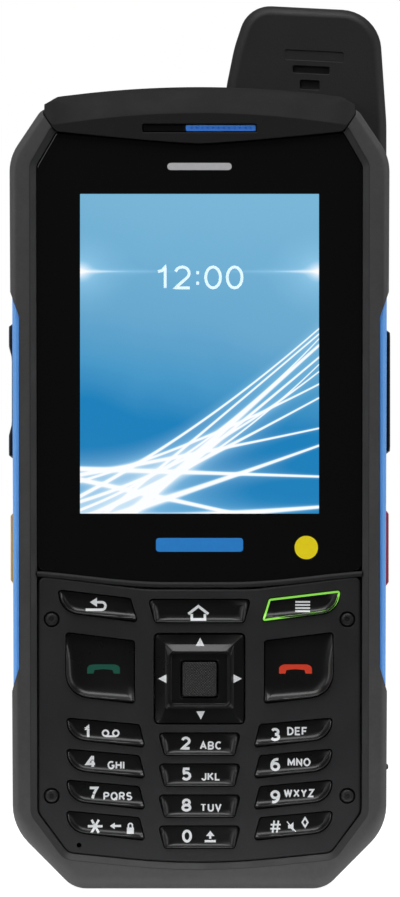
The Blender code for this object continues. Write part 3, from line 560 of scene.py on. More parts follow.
MATERIALS = {
    "bumper": moulded("bumper_rubberised", rgb(79, 78, 79), 0.55, grain=0.3, depth=0.02),
    # The bumper's rubber darkened: painted shade on the front's inner bevel and on the lens rib.
    "bezel": moulded("trim_painted_shade", rgb(39, 39, 41), 0.55, grain=0.25, depth=0.012),
    "hood": moulded("hood_satin", rgb(32, 31, 32), 0.75, grain=0.3, depth=0.016, Specular_IOR_Level=0.25),
    "antenna": moulded("antenna_rubber", rgb(30, 28, 29), 0.62, grain=0.35, depth=0.022),
    "plate": moulded("plate_grained", rgb(39, 39, 41), 0.55, grain=0.25, depth=0.014),
    "screw": moulded("screw_blacked", rgb(46, 46, 46), 0.4, grain=0.2, depth=0.006),
    "key": moulded("key_satin", rgb(24, 24, 24), 0.3, grain=0.2, depth=0.004, mottle=0.06, patches=0.04),
    "ok_key": knurled(),
    # The blue inlay's emission is painted light: a faint blue glow that brightens the side strips, which are
    # no lamp.
    "blue": moulded("blue_inlay_painted_glow", rgb(112, 180, 250), 0.42, grain=0.25, depth=0.01, mottle=0.05,
                    Emission_Color=(0.05, 0.27, 1.0, 1.0), Emission_Strength=0.15),
    "grille": moulded("blue_grille", rgb(72, 146, 250), 0.5, grain=0.2, depth=0.02, mottle=0.12),
    "amber": moulded("amber_key", rgb(235, 178, 80), 0.42, grain=0.25, depth=0.008, mottle=0.05),
    "red": moulded("red_key", rgb(200, 48, 56), 0.42, grain=0.25, depth=0.008, mottle=0.05),
    "rubber": moulded("flap_rubber", rgb(40, 40, 41), 0.65, grain=0.3, depth=0.02),
    "silicone": moulded("silicone", rgb(150, 150, 155), 0.6, grain=0.4, depth=0.02),
    "board": moulded("solder_mask", rgb(24, 92, 52), 0.35, grain=0.8, depth=0.03, mottle=0.2),
    "battery": moulded("battery_shell", rgb(38, 38, 42), 0.45, grain=0.3, depth=0.012),
    "lcd": moulded("display_module", rgb(150, 160, 170), 0.25, grain=0.5, depth=0.005),
    "black_glass": glass("black_glass", rgb(19, 19, 20)),
    "camera_glass": glass("camera_glass", rgb(10, 10, 14), 0.03),
    "steel": metal("steel", (0.45, 0.45, 0.46)),
    "dark_steel": metal("black_zinc", (0.05, 0.05, 0.055), 0.38),
    "magnesium": metal("magnesium", (0.4, 0.4, 0.4), 0.5),
    "gold": metal("gold_plate", (0.8, 0.55, 0.22), 0.25),
    "white_ink": glowing("legend_white", rgb(225, 228, 230), 0.3),
    "green_ink": glowing("call_green", rgb(22, 92, 74), 0.12),
    "red_ink": glowing("end_red", rgb(214, 62, 38), 0.3),
    "green_line": glowing("menu_outline", rgb(150, 235, 90), 0.7),
    "screen_ink": glowing("screen_ink", rgb(204, 226, 242), 0.9),
    "mark_grey": glowing("mark_grey", rgb(196, 196, 198), 0.2),
    "mark_blue": glowing("mark_blue", rgb(40, 130, 208), 0.35),
    "mark_amber": glowing("mark_amber", rgb(238, 216, 20), 0.35),
    "picture": picture(),
}


# ---- housings ----------------------------------------


def strip_ends(x, margin=0.0):
    """Heights of a side strip's two sloping ends, lower and upper, at a distance x from the middle plane."""
    reach = x - STRIP_INNER
    lower, lower_slope = 37.0, 3.2
    upper, upper_slope = 96.1, 2.7
    return lower - margin - lower_slope * reach, upper + margin + upper_slope * reach


def side_wells():
    """Cutters for both strips' pockets and for every side key's well."""
    cutters = []
    inner, outer, margin = 30.15, 32.5, 0.1
    for side, spans in ((-1, ((72.4, 94.8), (50.8, 64.2))), (1, (TALK_SPAN, RED_SPAN))):
        ends = ((inner, 0), (outer, 0), (outer, 1), (inner, 1))
        corners = [(x, strip_ends(x, margin)[end], 0) for x, end in ends]
        if side < 0:
            corners = flipped(corners)
        cutters.append(loft("pocket", layers(corners, ((0, -14.0), (0, 10.35)), 1)))
        near, far = sorted((side * 29.1, side * 34.0))
        cutters += [block("well", (near, -4.0, low - 0.9), (far, 4.0, high + 0.9)) for low, high in spans]
    return cutters


def front_shell():
    """The front bumper: side, rounded rim, front rail, inner bevel, lens seat and inner wall in one skin."""
    body, recess = mirrored(BODY_HALF), mirrored(RECESS_HALF)

    def low(p):
        """1 along the bottom edge and the lower chamfers, 0 up the sides."""
        return 1.0 - smooth(p.y, 9.0, 15.0)

    def outer(amount):
        """The body's outline moved in: less up the sides, more at the bottom, where the rim is fuller."""
        narrow = ring(inset(body, amount * 1.25), run_steps=6)
        return blended(narrow, ring(inset(body, amount * 2.3), run_steps=6), low)

    rings = layers(body, [(PARTING_GROOVE[0], Y_PARTING_FRONT)], run_steps=6)
    rings.append(at_depth(outer(0.0), Y_PARTING_FRONT - PARTING_GROOVE[1]))
    for turn in quarter_turn(8):
        points, rest = outer(1 - math.cos(turn)), 1 - math.sin(turn)
        rings.append([(p.x, lerp(2.0, 3.6, low(p)) * rest - HALF_DEPTH, p.y) for p in points])
    rim, inner = outer(1.0), ring(inset(recess, -1.25), run_steps=6)
    for share in (0.3, 0.7, 1.0):
        rings.append(at_depth(blended(rim, inner, share), -HALF_DEPTH))
    bevel_start = len(rings) - 1
    rings += layers(recess, ((-1.1, -12.44), (-0.95, -12.3), (-0.3, -11.75), (-0.12, -11.6), (-0.08, -11.4),
                             (-0.08, -9.9), (1.5, -9.9), (1.5, -8.9)), run_steps=6)
    rings += layers(body, ((4.1, -8.7), (4.1, Y_PARTING_FRONT)), run_steps=6)
    shell = loft("front_shell", rings, closed=True)
    # The faces from the bevel inwards take the second material: the bumper's tone darkened, as painted shade
    # on the inner bevel.
    count = len(rings[0])
    for face in shell.data.polygons[bevel_start * count:(bevel_start + 7) * count]:
        face.material_index = 1
    cutters = [slab("seat", mirrored(HOOD_HALF), (-0.12, -14.0), (-0.12, -10.3)), *side_wells()]
    cutters.append(block("flap_well", (29.1, -8.9, 19.4), (34.0, -1.2, 32.8)))
    cutters.append(block("aperture", (26.0, -6.9, 21.1), (30.0, -3.4, 30.7)))
    dress(boolean(shell, cutters), "handset", "bumper", ("bumper", "bezel"), "front_housing")


def lens_rib():
    """The narrow bar of housing between the lens and the keypad plate."""
    rings = []
    stations, reach, half = 48, 27.25, 0.48
    # The section: shares of the half height, and depths.
    section = ((-1, -9.9), (-1, -11.6), (-0.7, -11.85), (-0.2, -11.95), (0.2, -11.95), (0.7, -11.85),
               (1, -11.6), (1, -9.9))
    for k in range(stations + 1):
        x = lerp(-reach, reach, k / stations)
        middle = 51.05 + 1.95 * smooth(abs(x), 5.0, 31.0) * (abs(x) / reach) ** 0.2
        rings.append([(x, y, middle + half * share) for share, y in section])
    # The rib takes the darker trim tone, painted shade in place of the bumper's own colour.
    dress(loft("lens_rib", rings), "handset", "bumper", "bezel")


def rear_shell():
    """The rear bumper with its cover seat, battery bay, speaker slots, camera seat and antenna seat."""
    body = mirrored(BODY_HALF)
    rings = layers(body, ((PARTING_GROOVE[0], Y_PARTING_REAR), (0, Y_PARTING_REAR + PARTING_GROOVE[1])))
    rings += layers(body, ((amount, HALF_DEPTH - depth) for amount, depth in quarter(2.0, 3.2, 8)))
    shell = loft("rear_shell", rings)
    upper = [(-23.5, 94.5, 1), (26.5, 94.5, 1), (26.5, 109.2, 1), (2.4, 109.2, 0.05), (2.4, 127.3, 1),
             (-22.5, 127.3, 1), (-22.5, 109.2, 0.05), (-23.5, 109.2, 0.05)]
    cutters = [
        block("antenna_seat", (4.34, 2.82, 111.42), (40.0, 20.0, 150.0)),
        slab("cavity", upper, (0, -1.0), (0, 10.5)),
        slab("cover_seat", mirrored(COVER_HALF), (-0.22, 10.0), (-0.22, 12.2), (-0.55, 12.55)),
        block("bay", (-22.9, 2.1, 21.6), (22.9, 14.0, 83.4)),
        slab("camera_seat", CAMERA_OUTLINE, (-0.15, 11.0), (-0.15, 14.0)),
        rod("camera_hole", (CAMERA_X, 9.0, CAMERA_Z), (CAMERA_X, 14.0, CAMERA_Z), 3.4),
        rod("flash_hole", (CAMERA_X, 9.0, FLASH_Z), (CAMERA_X, 14.0, FLASH_Z), 1.7),
        rod("case_screw", (CASE_SCREW[0], 11.0, CASE_SCREW[1]), (CASE_SCREW[0], 14.0, CASE_SCREW[1]), 2.0),
        rod("lanyard_rear", (-25.0, 6.6, 8.6), (-25.0, 14.0, 8.6), 1.3),
        rod("lanyard_side", (-24.3, 7.9, 9.3), (-31.0, 7.9, 3.3), 1.3),
        *side_wells(),
    ]
    for x in SPEAKER_SLOT_XS:
        slot = rectangle((x - 0.7, 96.5), (x + 0.7, 105.5), 0.69)
        cutters.append(slab("slot", slot, (0, 9.0), (0, 12.2), (-0.35, 12.55)))
    for x in (-LATCH_X, LATCH_X):
        cutters.append(rod("bore", (x, 6.4, LATCH_Z), (x, 12.0, LATCH_Z), 1.4))
    dress(boolean(shell, cutters), "handset", "bumper", "bumper", "rear_housing")


def hood_top(x):
    """Height of the hood's crown line at x."""
    radius = 173.0
    arc = CROWN - (radius - math.sqrt(radius * radius - x * x))
    return arc - 1.1 * smooth(abs(x), 23.6, 26.3)


def hood():
    """The dark cap: a flat front panel with a slot, and a band above it that leans back to the crown."""
    half, stations = 26.05, 72
    shoulder, shoulder_z = 24.2, 127.1
    across = [lerp(-half, half, k / stations) for k in range(stations + 1)]

    def chevron(x):
        side = abs(x)
        if side < shoulder:
            return 125.05 + 2.05 * (side / shoulder) ** 1.25
        return lerp(shoulder_z, 129.9, (side - shoulder) / 1.9)

    def brow(x):
        return max(chevron(x) + 0.15, 130.15 - 1.95 * (x / shoulder) ** 2)

    def seat(x):
        return TOP_EDGE + 0.2

    def section(y, share, bottom, drop=0.0):
        """The cap's outline at depth y: its top lies between the brow, share 0, and the crown, share 1."""
        lower = [bottom(x) for x in across]
        rise = [lerp(share, min(1.0, share * 2.0), smooth(abs(x), 20.0, 25.5)) for x in across]
        upper = [max(lerp(brow(x), hood_top(x), amount) - drop, low + 0.08) for x, low, amount in
                 zip(across, lower, rise)]
        outline = list(zip(across, lower)) + list(zip(across, upper))[::-1]
        return [(x, y, z) for x, z in outline]

    rings = [section(-12.42, 0.0, lambda x: chevron(x) + 0.08, 0.12)]
    rings += [section(y, share, chevron) for y, share in
              ((-12.36, 0.02), (-12.05, 0.1), (-11.0, 0.46), (-10.6, 0.58))]
    rings += [section(y, share, seat) for y, share in
              ((-10.6, 0.58), (-9.6, 0.84), (-8.9, 0.95), (-8.2, 0.99), (-7.2, 1.0), (3.0, 1.0), (9.5, 1.0))]
    rings += [section(y, 1.0, seat, drop) for y, drop in ((11.0, 0.25), (11.8, 0.8), (12.1, 1.6))]
    slot = rectangle((-9.6, SLOT_Z - 0.68), (9.6, SLOT_Z + 0.68), 0.35)
    cutters = [block("antenna_side", (4.32, 2.8, 100.0), (40.0, 20.0, 150.0)),
               slab("slot", slot, (0, -9.0), (0, -12.2), (-0.5, -12.9))]
    dress(boolean(loft("hood", rings), cutters), "handset", "hood", "hood", "top_hood", angle=26)


def slot_inserts():
    """The sensor window and the blue earpiece bar, side by side in the hood's slot."""
    def insert(name, x_low, x_high, y_front, rim):
        half = 0.53
        outline = rectangle((x_low, SLOT_Z - half), (x_high, SLOT_Z + half), 0.2)
        return rounded_slab(name, outline, y_front, -10.8, rim)

    window = insert("sensor_lens", -9.4, -2.5, -12.1, (0.1, 0.1))
    dress(window, "handset", "glass", "black_glass", "sensor_window")
    bar = insert("earpiece_bar", -2.3, 9.45, -12.2, (0.12, 0.1))
    xs = [k * 0.9 - 1.3 for k in range(12)]
    holes = [rod("hole", (x, -13.0, SLOT_Z), (x, -12.05, SLOT_Z), 0.2, 12) for x in xs]
    dress(boolean(bar, holes), "handset", "blue", "grille", "earpiece_grille")


def side_strip(label, side, spans):
    """The blue inlay along one side. Its section is a low curve, rounded over at the front and the back."""
    rings = []
    # How far each section point stands out from the strip's base, and its depth.
    section = ((0.0, -11.9), (0.35, -11.85), (0.62, -11.6), (0.82, -11.0), (0.9, -9.6), (0.93, -6.0),
               (0.95, 0.0), (0.93, 6.0), (0.9, 9.2), (0.75, 9.9), (0.45, 10.2), (0.0, 10.2))
    stations = 24
    for k in range(-1, stations + 2):
        along = min(1.0, max(0.0, k / stations))
        end_ring = k in (-1, stations + 1)
        swell = lerp(1.05, 1.28, along) * (0.9 if end_ring else 1.0)
        points = []
        for out, y in section:
            x = STRIP_INNER + out * swell
            low, high = strip_ends(x, 0.0 if end_ring else -0.08)
            points.append((side * x, y, lerp(low, high, along)))
        rings.append(points)
    strip = loft(f"blue_strip_{label}", rings)
    near, far = sorted((side * 28.0, side * 34.0))
    windows = [block("window", (near, -3.3, low - 0.25), (far, 3.3, high + 0.25)) for low, high in spans]
    dress(boolean(strip, windows), "handset", "blue", "blue", f"side_strip_{label}")


# ---- front face ----------------------------------------


def display():
    """The black lens, and on it the lit picture, its clock and the printed marks."""
    lens = rounded_slab("lens", mirrored(LENS_HALF), Y_RECESS - 0.05, -10.2, (0.3, 0.2), arc_steps=10)
    dress(lens, "handset", "glass", "black_glass", "display_lens")
    y_picture, hairline = Y_RECESS - 0.09, (0.01, 0.01)
    area = rectangle((-SCREEN_HALF_WIDTH, SCREEN_Z[0]), (SCREEN_HALF_WIDTH, SCREEN_Z[1]), 0.05)
    shown = rounded_slab("screen_picture", area, y_picture, -11.4, hairline, steps=1)
    dress(shown, "handset", "display", "picture")
    lines, width = text_strokes("12:00", 4.0, 0.0, 102.6, weight=0.12)
    ribbons("screen_clock", lines, width, lambda x, z: y_picture, "handset", "display", "screen_ink", 0.02)
    marks = (
        ("mark_pill", rectangle((-5.4, 120.6), (5.4, 121.8), 0.59), "mark_grey"),
        ("mark_bar", rectangle((-7.3, 56.6), (7.3, 58.9), 0.5), "mark_blue"),
        ("mark_dot", circle_corners(17.9, 57.3, 1.95), "mark_amber"),
    )
    for name, corners, ink in marks:
        mark = rounded_slab(name, corners, Y_RECESS - 0.075, -11.5, hairline, steps=1, arc_steps=10)
        dress(mark, "handset", "glass", ink)


def keypad_plate(keys):
    """The plate, with a hole for each key and the navigation ring, screw recesses and a microphone hole."""
    plate = rounded_slab("keypad_face", mirrored(PLATE_HALF), Y_PLATE, -10.0, (0.45, 0.35), arc_steps=8)
    nav = rectangle((-NAV_HALF, NAV_Z - NAV_HALF), (NAV_HALF, NAV_Z + NAV_HALF), 0.8)
    cutters = []
    for corners in [*keys.values(), nav]:
        cutters.append(slab("hole", corners, (-0.1, -8.0), (-0.1, Y_PLATE + 0.12), (-0.13, Y_PLATE + 0.04),
                            (-0.2, Y_PLATE - 0.03), (-0.4, Y_PLATE - 0.2)))
    recess = ((0.85, -9.0), (0.85, -10.5), (1.32, -10.55), (1.32, -11.55), (1.42, -11.72), (1.6, -12.0))
    cutters += [turned("screw_hole", x, z, recess) for x, z in SCREW_PLACES]
    cutters.append(rod("microphone", (-20.2, -13.0, 7.4), (-20.2, -9.0, 7.4), 0.42, 16))
    dress(boolean(plate, cutters), "handset", "plate", "plate", "keypad_plate")


def keypad_screws():
    """Four domed screws, each with a small dimple."""
    profile = ((0.02, -11.42), (0.36, -11.4), (0.42, -11.58), (0.65, -11.62), (0.95, -11.52), (1.16, -11.3),
               (1.25, -11.0), (0.7, -10.75), (0.7, 7.0))
    for number, (x, z) in enumerate(SCREW_PLACES, 1):
        screw = turned(f"plate_screw_{number}", x, z, profile)
        dress(screw, "handset", "dark_steel", "screw", f"keypad_screw_{number}")


# ---- keys ----------------------------------------


def key_outlines():
    """Each front key's name and outline."""
    keys = {"back_key": SOFT_KEY, "menu_key": flipped(SOFT_KEY), "home_key": HOME_KEY, "call_key": CALL_KEY,
            "end_key": flipped(CALL_KEY)}
    rows = ("123", "456", "789", ("star", "0", "hash"))
    for row, labels in enumerate(rows):
        left, middle, right = (f"key_{label}" for label in labels)
        drop = -row * NUMBER_PITCH
        keys[left] = raised(NUMBER_KEY, drop)
        keys[middle] = raised(MIDDLE_KEY, drop)
        keys[right] = flipped(raised(NUMBER_KEY, drop))
    return keys


def edge_heights(corners, x):
    """Heights of a key's lower and upper edge at x."""
    ordered = sorted(corners, key=lambda c: c[1])
    edges = []
    for (xa, za, _), (xb, zb, _) in (ordered[:2], ordered[2:]):
        edges.append(lerp(za, zb, (x - xa) / (xb - xa)))
    return edges


def lip_line(corners):
    """A key's outline with the edges that carry no lip moved away: its top, and an outer key's inner side."""
    centre, middle = (sum(c[axis] for c in corners) / 4 for axis in (0, 1))
    away = 6.0
    moved = []
    for x, z, radius in corners:
        inner = abs(centre) > 5 and (x - centre) * centre < 0
        moved.append((x - math.copysign(away, centre) if inner else x, z + away if z > middle else z, radius))
    loop = [Vector(p) for p in ring(moved, 10)]
    return list(zip(loop, loop[1:] + loop[:1]))


def reach_to(lines, point):
    """The distance from a point to the nearest of some straight lines."""
    nearest = 1e9
    for start, end in lines:
        along = end - start
        share = min(1.0, max(0.0, (point - start).dot(along) / max(1e-9, along.length_squared)))
        nearest = min(nearest, (point - start - along * share).length)
    return nearest


def key_cap(name, corners):
    """A key's cap: a scooped face, with a lip along its lower and outer edges that falls away to the top."""
    low, high = edge_heights(corners, sum(c[0] for c in corners) / 4)
    tall = high - low > 8
    hollow, spread = (1.15, 0.5) if tall else (0.95, 0.4)
    lip = lip_line(corners)

    def depth(point):
        base, top = edge_heights(corners, point.x)
        crest = hollow * smooth((point.y - base) / (top - base), 0.4, 1.05)
        inside = max(0.0, reach_to(lip, point) - 0.06)
        return lerp(crest, hollow, 1.0 - math.exp(-inside / spread))

    distances = [0.0, 0.04, 0.09, 0.15, 0.22, 0.3, 0.42, 0.56, 0.76, 1.05, 1.4]
    if tall:
        distances += [1.9, 2.5, 3.3, 4.3]
    rings = [at_depth(ring(corners, run_steps=8), KEY_BACK)]
    for distance in distances:
        rim = KEY_EDGE * (1.0 - smooth(distance, -0.06, 0.09))
        points = ring(inset(corners, distance), run_steps=8)
        rings.append([(p.x, KEY_FRONT + depth(p) + rim, p.y) for p in points])
    return dress(loft(name + "_cap", rings), name, "key", "key", name, angle=60)


def surface_of(obj):
    """A lookup of the depth of a piece's front at (x, z), in millimetres."""
    bpy.context.view_layer.update()
    tree = BVHTree.FromObject(obj, bpy.context.evaluated_depsgraph_get())

    def depth(x, z):
        hit = tree.ray_cast(Vector((x * MM, -0.1, z * MM)), Vector((0, 1, 0)))[0]
        return hit.y / MM if hit else KEY_FRONT

    return depth


def printed(name, outlines, depth, body, slot, look, thickness=0.05):
    """Flat filled shapes, given as lists of (x, z) loops, laid onto a surface as thin raised ink."""
    curve = bpy.data.curves.new(name, "CURVE")
    curve.dimensions = "2D"
    curve.fill_mode = "BOTH"
    curve.extrude = thickness / 2 * MM
    for loop in outlines:
        spline = curve.splines.new("POLY")
        spline.points.add(len(loop) - 1)
        for point, (x, z) in zip(spline.points, loop):
            point.co = (x * MM, z * MM, 0, 1)
        spline.use_cyclic_u = True
    helper = new_object(name, curve)
    mesh = evaluated_mesh(helper)
    bpy.data.objects.remove(helper)
    shape = bmesh.new()
    shape.from_mesh(mesh)
    bpy.data.meshes.remove(mesh)
    bmesh.ops.remove_doubles(shape, verts=shape.verts, dist=1e-7)
    for _ in range(4):
        long_edges = [e for e in shape.edges if e.calc_length() > 0.45 * MM]
        if not long_edges:
            break
        bmesh.ops.subdivide_edges(shape, edges=long_edges, cuts=1)
        bmesh.ops.triangulate(shape, faces=[f for f in shape.faces if len(f.verts) > 3])
    for vertex in shape.verts:
        x, z, lift = (part / MM for part in vertex.co)
        vertex.co = Vector((x, depth(x, z) - lift - thickness * 0.1, z)) * MM
    return dress(finished(name, shape), body, slot, look, angle=60)


def arc(x, z, wide, high, start, end, steps=8):
    """Points on an ellipse between two angles in degrees."""
    turns = [math.radians(lerp(start, end, k / steps)) for k in range(steps + 1)]
    return [(x + wide * math.cos(t), z + high * math.sin(t)) for t in turns]


def alphabet():
    """A plain sans alphabet as strokes, 1 high. Each character has its width and its strokes."""
    bowl = [(0, 1), (0.3, 1)] + arc(0.3, 0.74, 0.26, 0.26, 90, -90) + [(0, 0.48)]
    round_o = arc(0.36, 0.5, 0.36, 0.5, 0, 360, 16)
    stem = [(0, 1), (0, 0)]
    return {
        "0": (0.6, [arc(0.3, 0.5, 0.3, 0.5, 0, 360, 16)]),
        "1": (0.45, [[(0.04, 0.78), (0.2, 0.82), (0.33, 1), (0.33, 0)]]),
        "2": (0.6, [arc(0.3, 0.7, 0.28, 0.3, 165, -35) + [(0.02, 0), (0.6, 0)]]),
        "3": (0.6, [arc(0.28, 0.75, 0.26, 0.25, 150, -90), arc(0.28, 0.25, 0.31, 0.25, 90, -155)]),
        "4": (0.64, [[(0.64, 0.28), (0, 0.28), (0.44, 1)], [(0.46, 1.04), (0.46, 0)]]),
        "5": (0.6, [[(0.55, 1), (0.12, 1), (0.06, 0.5)] + arc(0.28, 0.32, 0.31, 0.32, 130, -150)]),
        "6": (0.6, [arc(0.3, 0.31, 0.29, 0.31, 0, 360, 14), arc(0.44, 0.4, 0.43, 0.6, 180, 75)]),
        "7": (0.58, [[(0, 1), (0.58, 1), (0.34, 0.5), (0.22, 0)]]),
        "8": (0.6, [arc(0.3, 0.75, 0.25, 0.25, 0, 360, 14), arc(0.3, 0.25, 0.3, 0.25, 0, 360, 14)]),
        "9": (0.6, [arc(0.3, 0.69, 0.29, 0.31, 0, 360, 14), arc(0.16, 0.6, 0.43, 0.6, 0, -105)]),
        "*": (0.78, [[(0, 0.52), (0.78, 0.52)], [(0.2, 0.92), (0.58, 0.12)], [(0.58, 0.92), (0.2, 0.12)]]),
        "#": (0.7, [[(0.28, 1), (0.16, 0)], [(0.58, 1), (0.46, 0)], [(0.02, 0.66), (0.74, 0.66)],
                    [(0, 0.32), (0.7, 0.32)]]),
        ":": (0.1, [[(0.05, 0.15), (0.05, 0.3)], [(0.05, 0.65), (0.05, 0.8)]]),
        "A": (0.68, [[(0, 0), (0.34, 1), (0.68, 0)], [(0.14, 0.33), (0.54, 0.33)]]),
        "B": (0.58, [bowl, [(0, 1), (0, 0), (0.32, 0)] + arc(0.32, 0.25, 0.26, 0.24, -90, 90)]),
        "C": (0.66, [arc(0.36, 0.5, 0.36, 0.5, 50, 310, 12)]),
        "D": (0.62, [[(0, 0), (0, 1), (0.22, 1)] + arc(0.22, 0.5, 0.4, 0.5, 90, -90) + [(0, 0)]]),
        "E": (0.54, [[(0.54, 1), (0, 1), (0, 0), (0.56, 0)], [(0, 0.52), (0.48, 0.52)]]),
        "F": (0.52, [[(0.54, 1), (0, 1), (0, 0)], [(0, 0.5), (0.46, 0.5)]]),
        "G": (0.68, [arc(0.36, 0.5, 0.36, 0.5, 50, 335, 12) + [(0.69, 0.44), (0.42, 0.44)]]),
        "H": (0.58, [stem, [(0.58, 1), (0.58, 0)], [(0, 0.52), (0.58, 0.52)]]),
        "I": (0.02, [stem]),
        "J": (0.44, [[(0.44, 1), (0.44, 0.25)] + arc(0.22, 0.24, 0.22, 0.24, 0, -180)]),
        "K": (0.58, [stem, [(0.56, 1), (0.02, 0.38)], [(0.2, 0.58), (0.6, 0)]]),
        "L": (0.5, [[(0, 1), (0, 0), (0.5, 0)]]),
        "M": (0.74, [[(0, 0), (0, 1), (0.37, 0.2), (0.74, 1), (0.74, 0)]]),
        "N": (0.58, [[(0, 0), (0, 1), (0.58, 0), (0.58, 1)]]),
        "O": (0.72, [round_o]),
        "P": (0.56, [bowl, stem]),
        "Q": (0.72, [round_o, [(0.44, 0.26), (0.72, -0.02)]]),
        "R": (0.58, [bowl, stem, [(0.28, 0.48), (0.58, 0)]]),
        "S": (0.58, [arc(0.29, 0.75, 0.26, 0.25, 35, 270) + arc(0.29, 0.25, 0.28, 0.25, 90, -150)]),
        "T": (0.62, [[(0, 1), (0.62, 1)], [(0.31, 1), (0.31, 0)]]),
        "U": (0.58, [[(0, 1), (0, 0.3)] + arc(0.29, 0.29, 0.29, 0.29, 180, 360) + [(0.58, 1)]]),
        "V": (0.64, [[(0, 1), (0.32, 0), (0.64, 1)]]),
        "W": (0.86, [[(0, 1), (0.21, 0), (0.43, 0.95), (0.65, 0), (0.86, 1)]]),
        "X": (0.6, [[(0, 1), (0.6, 0)], [(0.6, 1), (0, 0)]]),
        "Y": (0.6, [[(0, 1), (0.3, 0.48), (0.6, 1)], [(0.3, 0.48), (0.3, 0)]]),
        "Z": (0.58, [[(0, 1), (0.56, 1), (0, 0), (0.58, 0)]]),
    }


ALPHABET = alphabet()


def text_strokes(text, height, x, z, weight=0.2):
    """The strokes of a line of text centred on (x, z), and their width. height is that of the capitals."""
    spacing, stretch = 0.2, 1.18
    body = height * (1.0 - weight)
    wide = body * stretch
    gap = (weight + spacing) * body
    advance = [ALPHABET[letter][0] * wide + gap for letter in text]
    start = x - (sum(advance) - gap) / 2
    strokes = []
    for letter, step in zip(text, advance):
        for line in ALPHABET[letter][1]:
            strokes.append([(start + px * wide, z + (pz - 0.5) * body) for px, pz in line])
        start += step
    return strokes, height * weight


def ribbons(name, strokes, width, depth, body, slot, look, thickness=0.05):
    """Lines of one width, laid onto a surface as thin raised ink."""
    shape = bmesh.new()
    for line in strokes:
        closed = (Vector(line[0]) - Vector(line[-1])).length < 1e-6
        path = [Vector(line[0])]
        for point in map(Vector, line[1:]):
            pieces = max(1, math.ceil((point - path[-1]).length / 0.35))
            start = path[-1]
            path += [start.lerp(point, k / pieces) for k in range(1, pieces + 1)]
        if closed:
            path.pop()
        rows = []
        for sides in zip(*stroke(path, width, closed)):
            row = []
            for x, z in sides:
                y = depth(x, z)
                for dy in (-thickness * 0.6, thickness * 0.4):
                    row.append(shape.verts.new(Vector((x, y + dy, z)) * MM))
            rows.append((row[0], row[1], row[3], row[2]))
        for a, b in zip(rows, rows[1:] + rows[:1] if closed else rows[1:]):
            for i in range(4):
                shape.faces.new((a[i], a[i - 1], b[i - 1], b[i]))
        if not closed:
            shape.faces.new(rows[0])
            shape.faces.new(rows[-1][::-1])
    dress(finished(name, shape), body, slot, look, angle=60)


def stroke(path, width, closed):
    """The left and the right side of a line with some width."""
    count = len(path)
    left, right = [], []
    for i, here in enumerate(path):
        before = path[i - 1] if i or closed else here * 2 - path[1]
        after = path[(i + 1) % count] if i < count - 1 or closed else here * 2 - path[i - 1]
        first, second = (here - before).normalized(), (after - here).normalized()
        normal_1, normal_2 = (Vector((-d.y, d.x)) for d in (first, second))
        miter = (normal_1 + normal_2) * (width / 2 / max(0.35, 1.0 + normal_1.dot(normal_2)))
        left.append(here + miter)
        right.append(here - miter)
    return left, right


def placed(loops, x, z, scale=1.0):
    return [[(x + px * scale, z + pz * scale) for px, pz in loop] for loop in loops]


def icons():
    """Small generic pictograms round the origin: filled loops, then strokes and their width."""
    receiver = arc(-1.65, -0.05, 1.1, 0.75, 175, 100, 6) + arc(1.65, -0.05, 1.1, 0.75, 80, 5, 6)
    receiver += [(2.75, -0.85), (1.7, -0.85), (1.5, -0.25), (0, -0.1), (-1.5, -0.25), (-1.7, -0.85),
                 (-2.75, -0.85)]
    walls = [(-1.05, -0.15), (-1.05, -1), (1.05, -1), (1.05, -0.15)]
    roof = [(-1.6, -0.15), (0, 1.1), (1.6, -0.15)]
    bend = [(-1.7, -0.7), (0.9, -0.7)] + arc(0.9, -0.1, 0.55, 0.6, -90, 90) + [(-0.1, 0.5)]
    rings = [arc(x, 0.05, 0.42, 0.42, 0, 360, 16) for x in (-0.75, 0.75)]
    bars = [[(-1.25, z), (1.25, z)] for z in (-0.78, -0.26, 0.26, 0.78)]
    horn = [(-0.55, -0.32), (-0.12, -0.32), (0.36, -0.75), (0.36, 0.75), (-0.12, 0.32), (-0.55, 0.32)]
    shackle = [(-0.24, 0.05), (-0.24, 0.35)] + arc(0, 0.35, 0.24, 0.24, 180, 0) + [(0.24, 0.05)]
    return {
        "handset": ([receiver], [], 0),
        "house": ([], [walls, roof], 0.42),
        "back": ([[(0.1, 1.25), (-1.05, 0.5), (0.1, -0.25)]], [bend], 0.4),
        "menu": ([], bars, 0.3),
        "reels": ([], [*rings, [(-0.75, -0.4), (0.75, -0.4)]], 0.27),
        "lock": ([[(-0.42, -0.65), (0.42, -0.65), (0.42, 0.1), (-0.42, 0.1)]], [shackle], 0.18),
        "arrow": ([[(-0.1, 0.5), (-0.85, 0), (-0.1, -0.5)]], [[(-0.15, 0), (0.85, 0)]], 0.32),
        "shift": ([[(-0.62, 0.1), (0.62, 0.1), (0, 0.85)]],
                  [[(0, 0.15), (0, -0.3)], [(-0.8, -0.65), (0.8, -0.65)]], 0.34),
        "note": ([horn], [[(-0.75, 0.85), (0.75, -0.85)]], 0.16),
        "diamond": ([], [[(0, -0.68), (0.42, 0), (0, 0.68), (-0.42, 0), (0, -0.68)]], 0.26),
    }


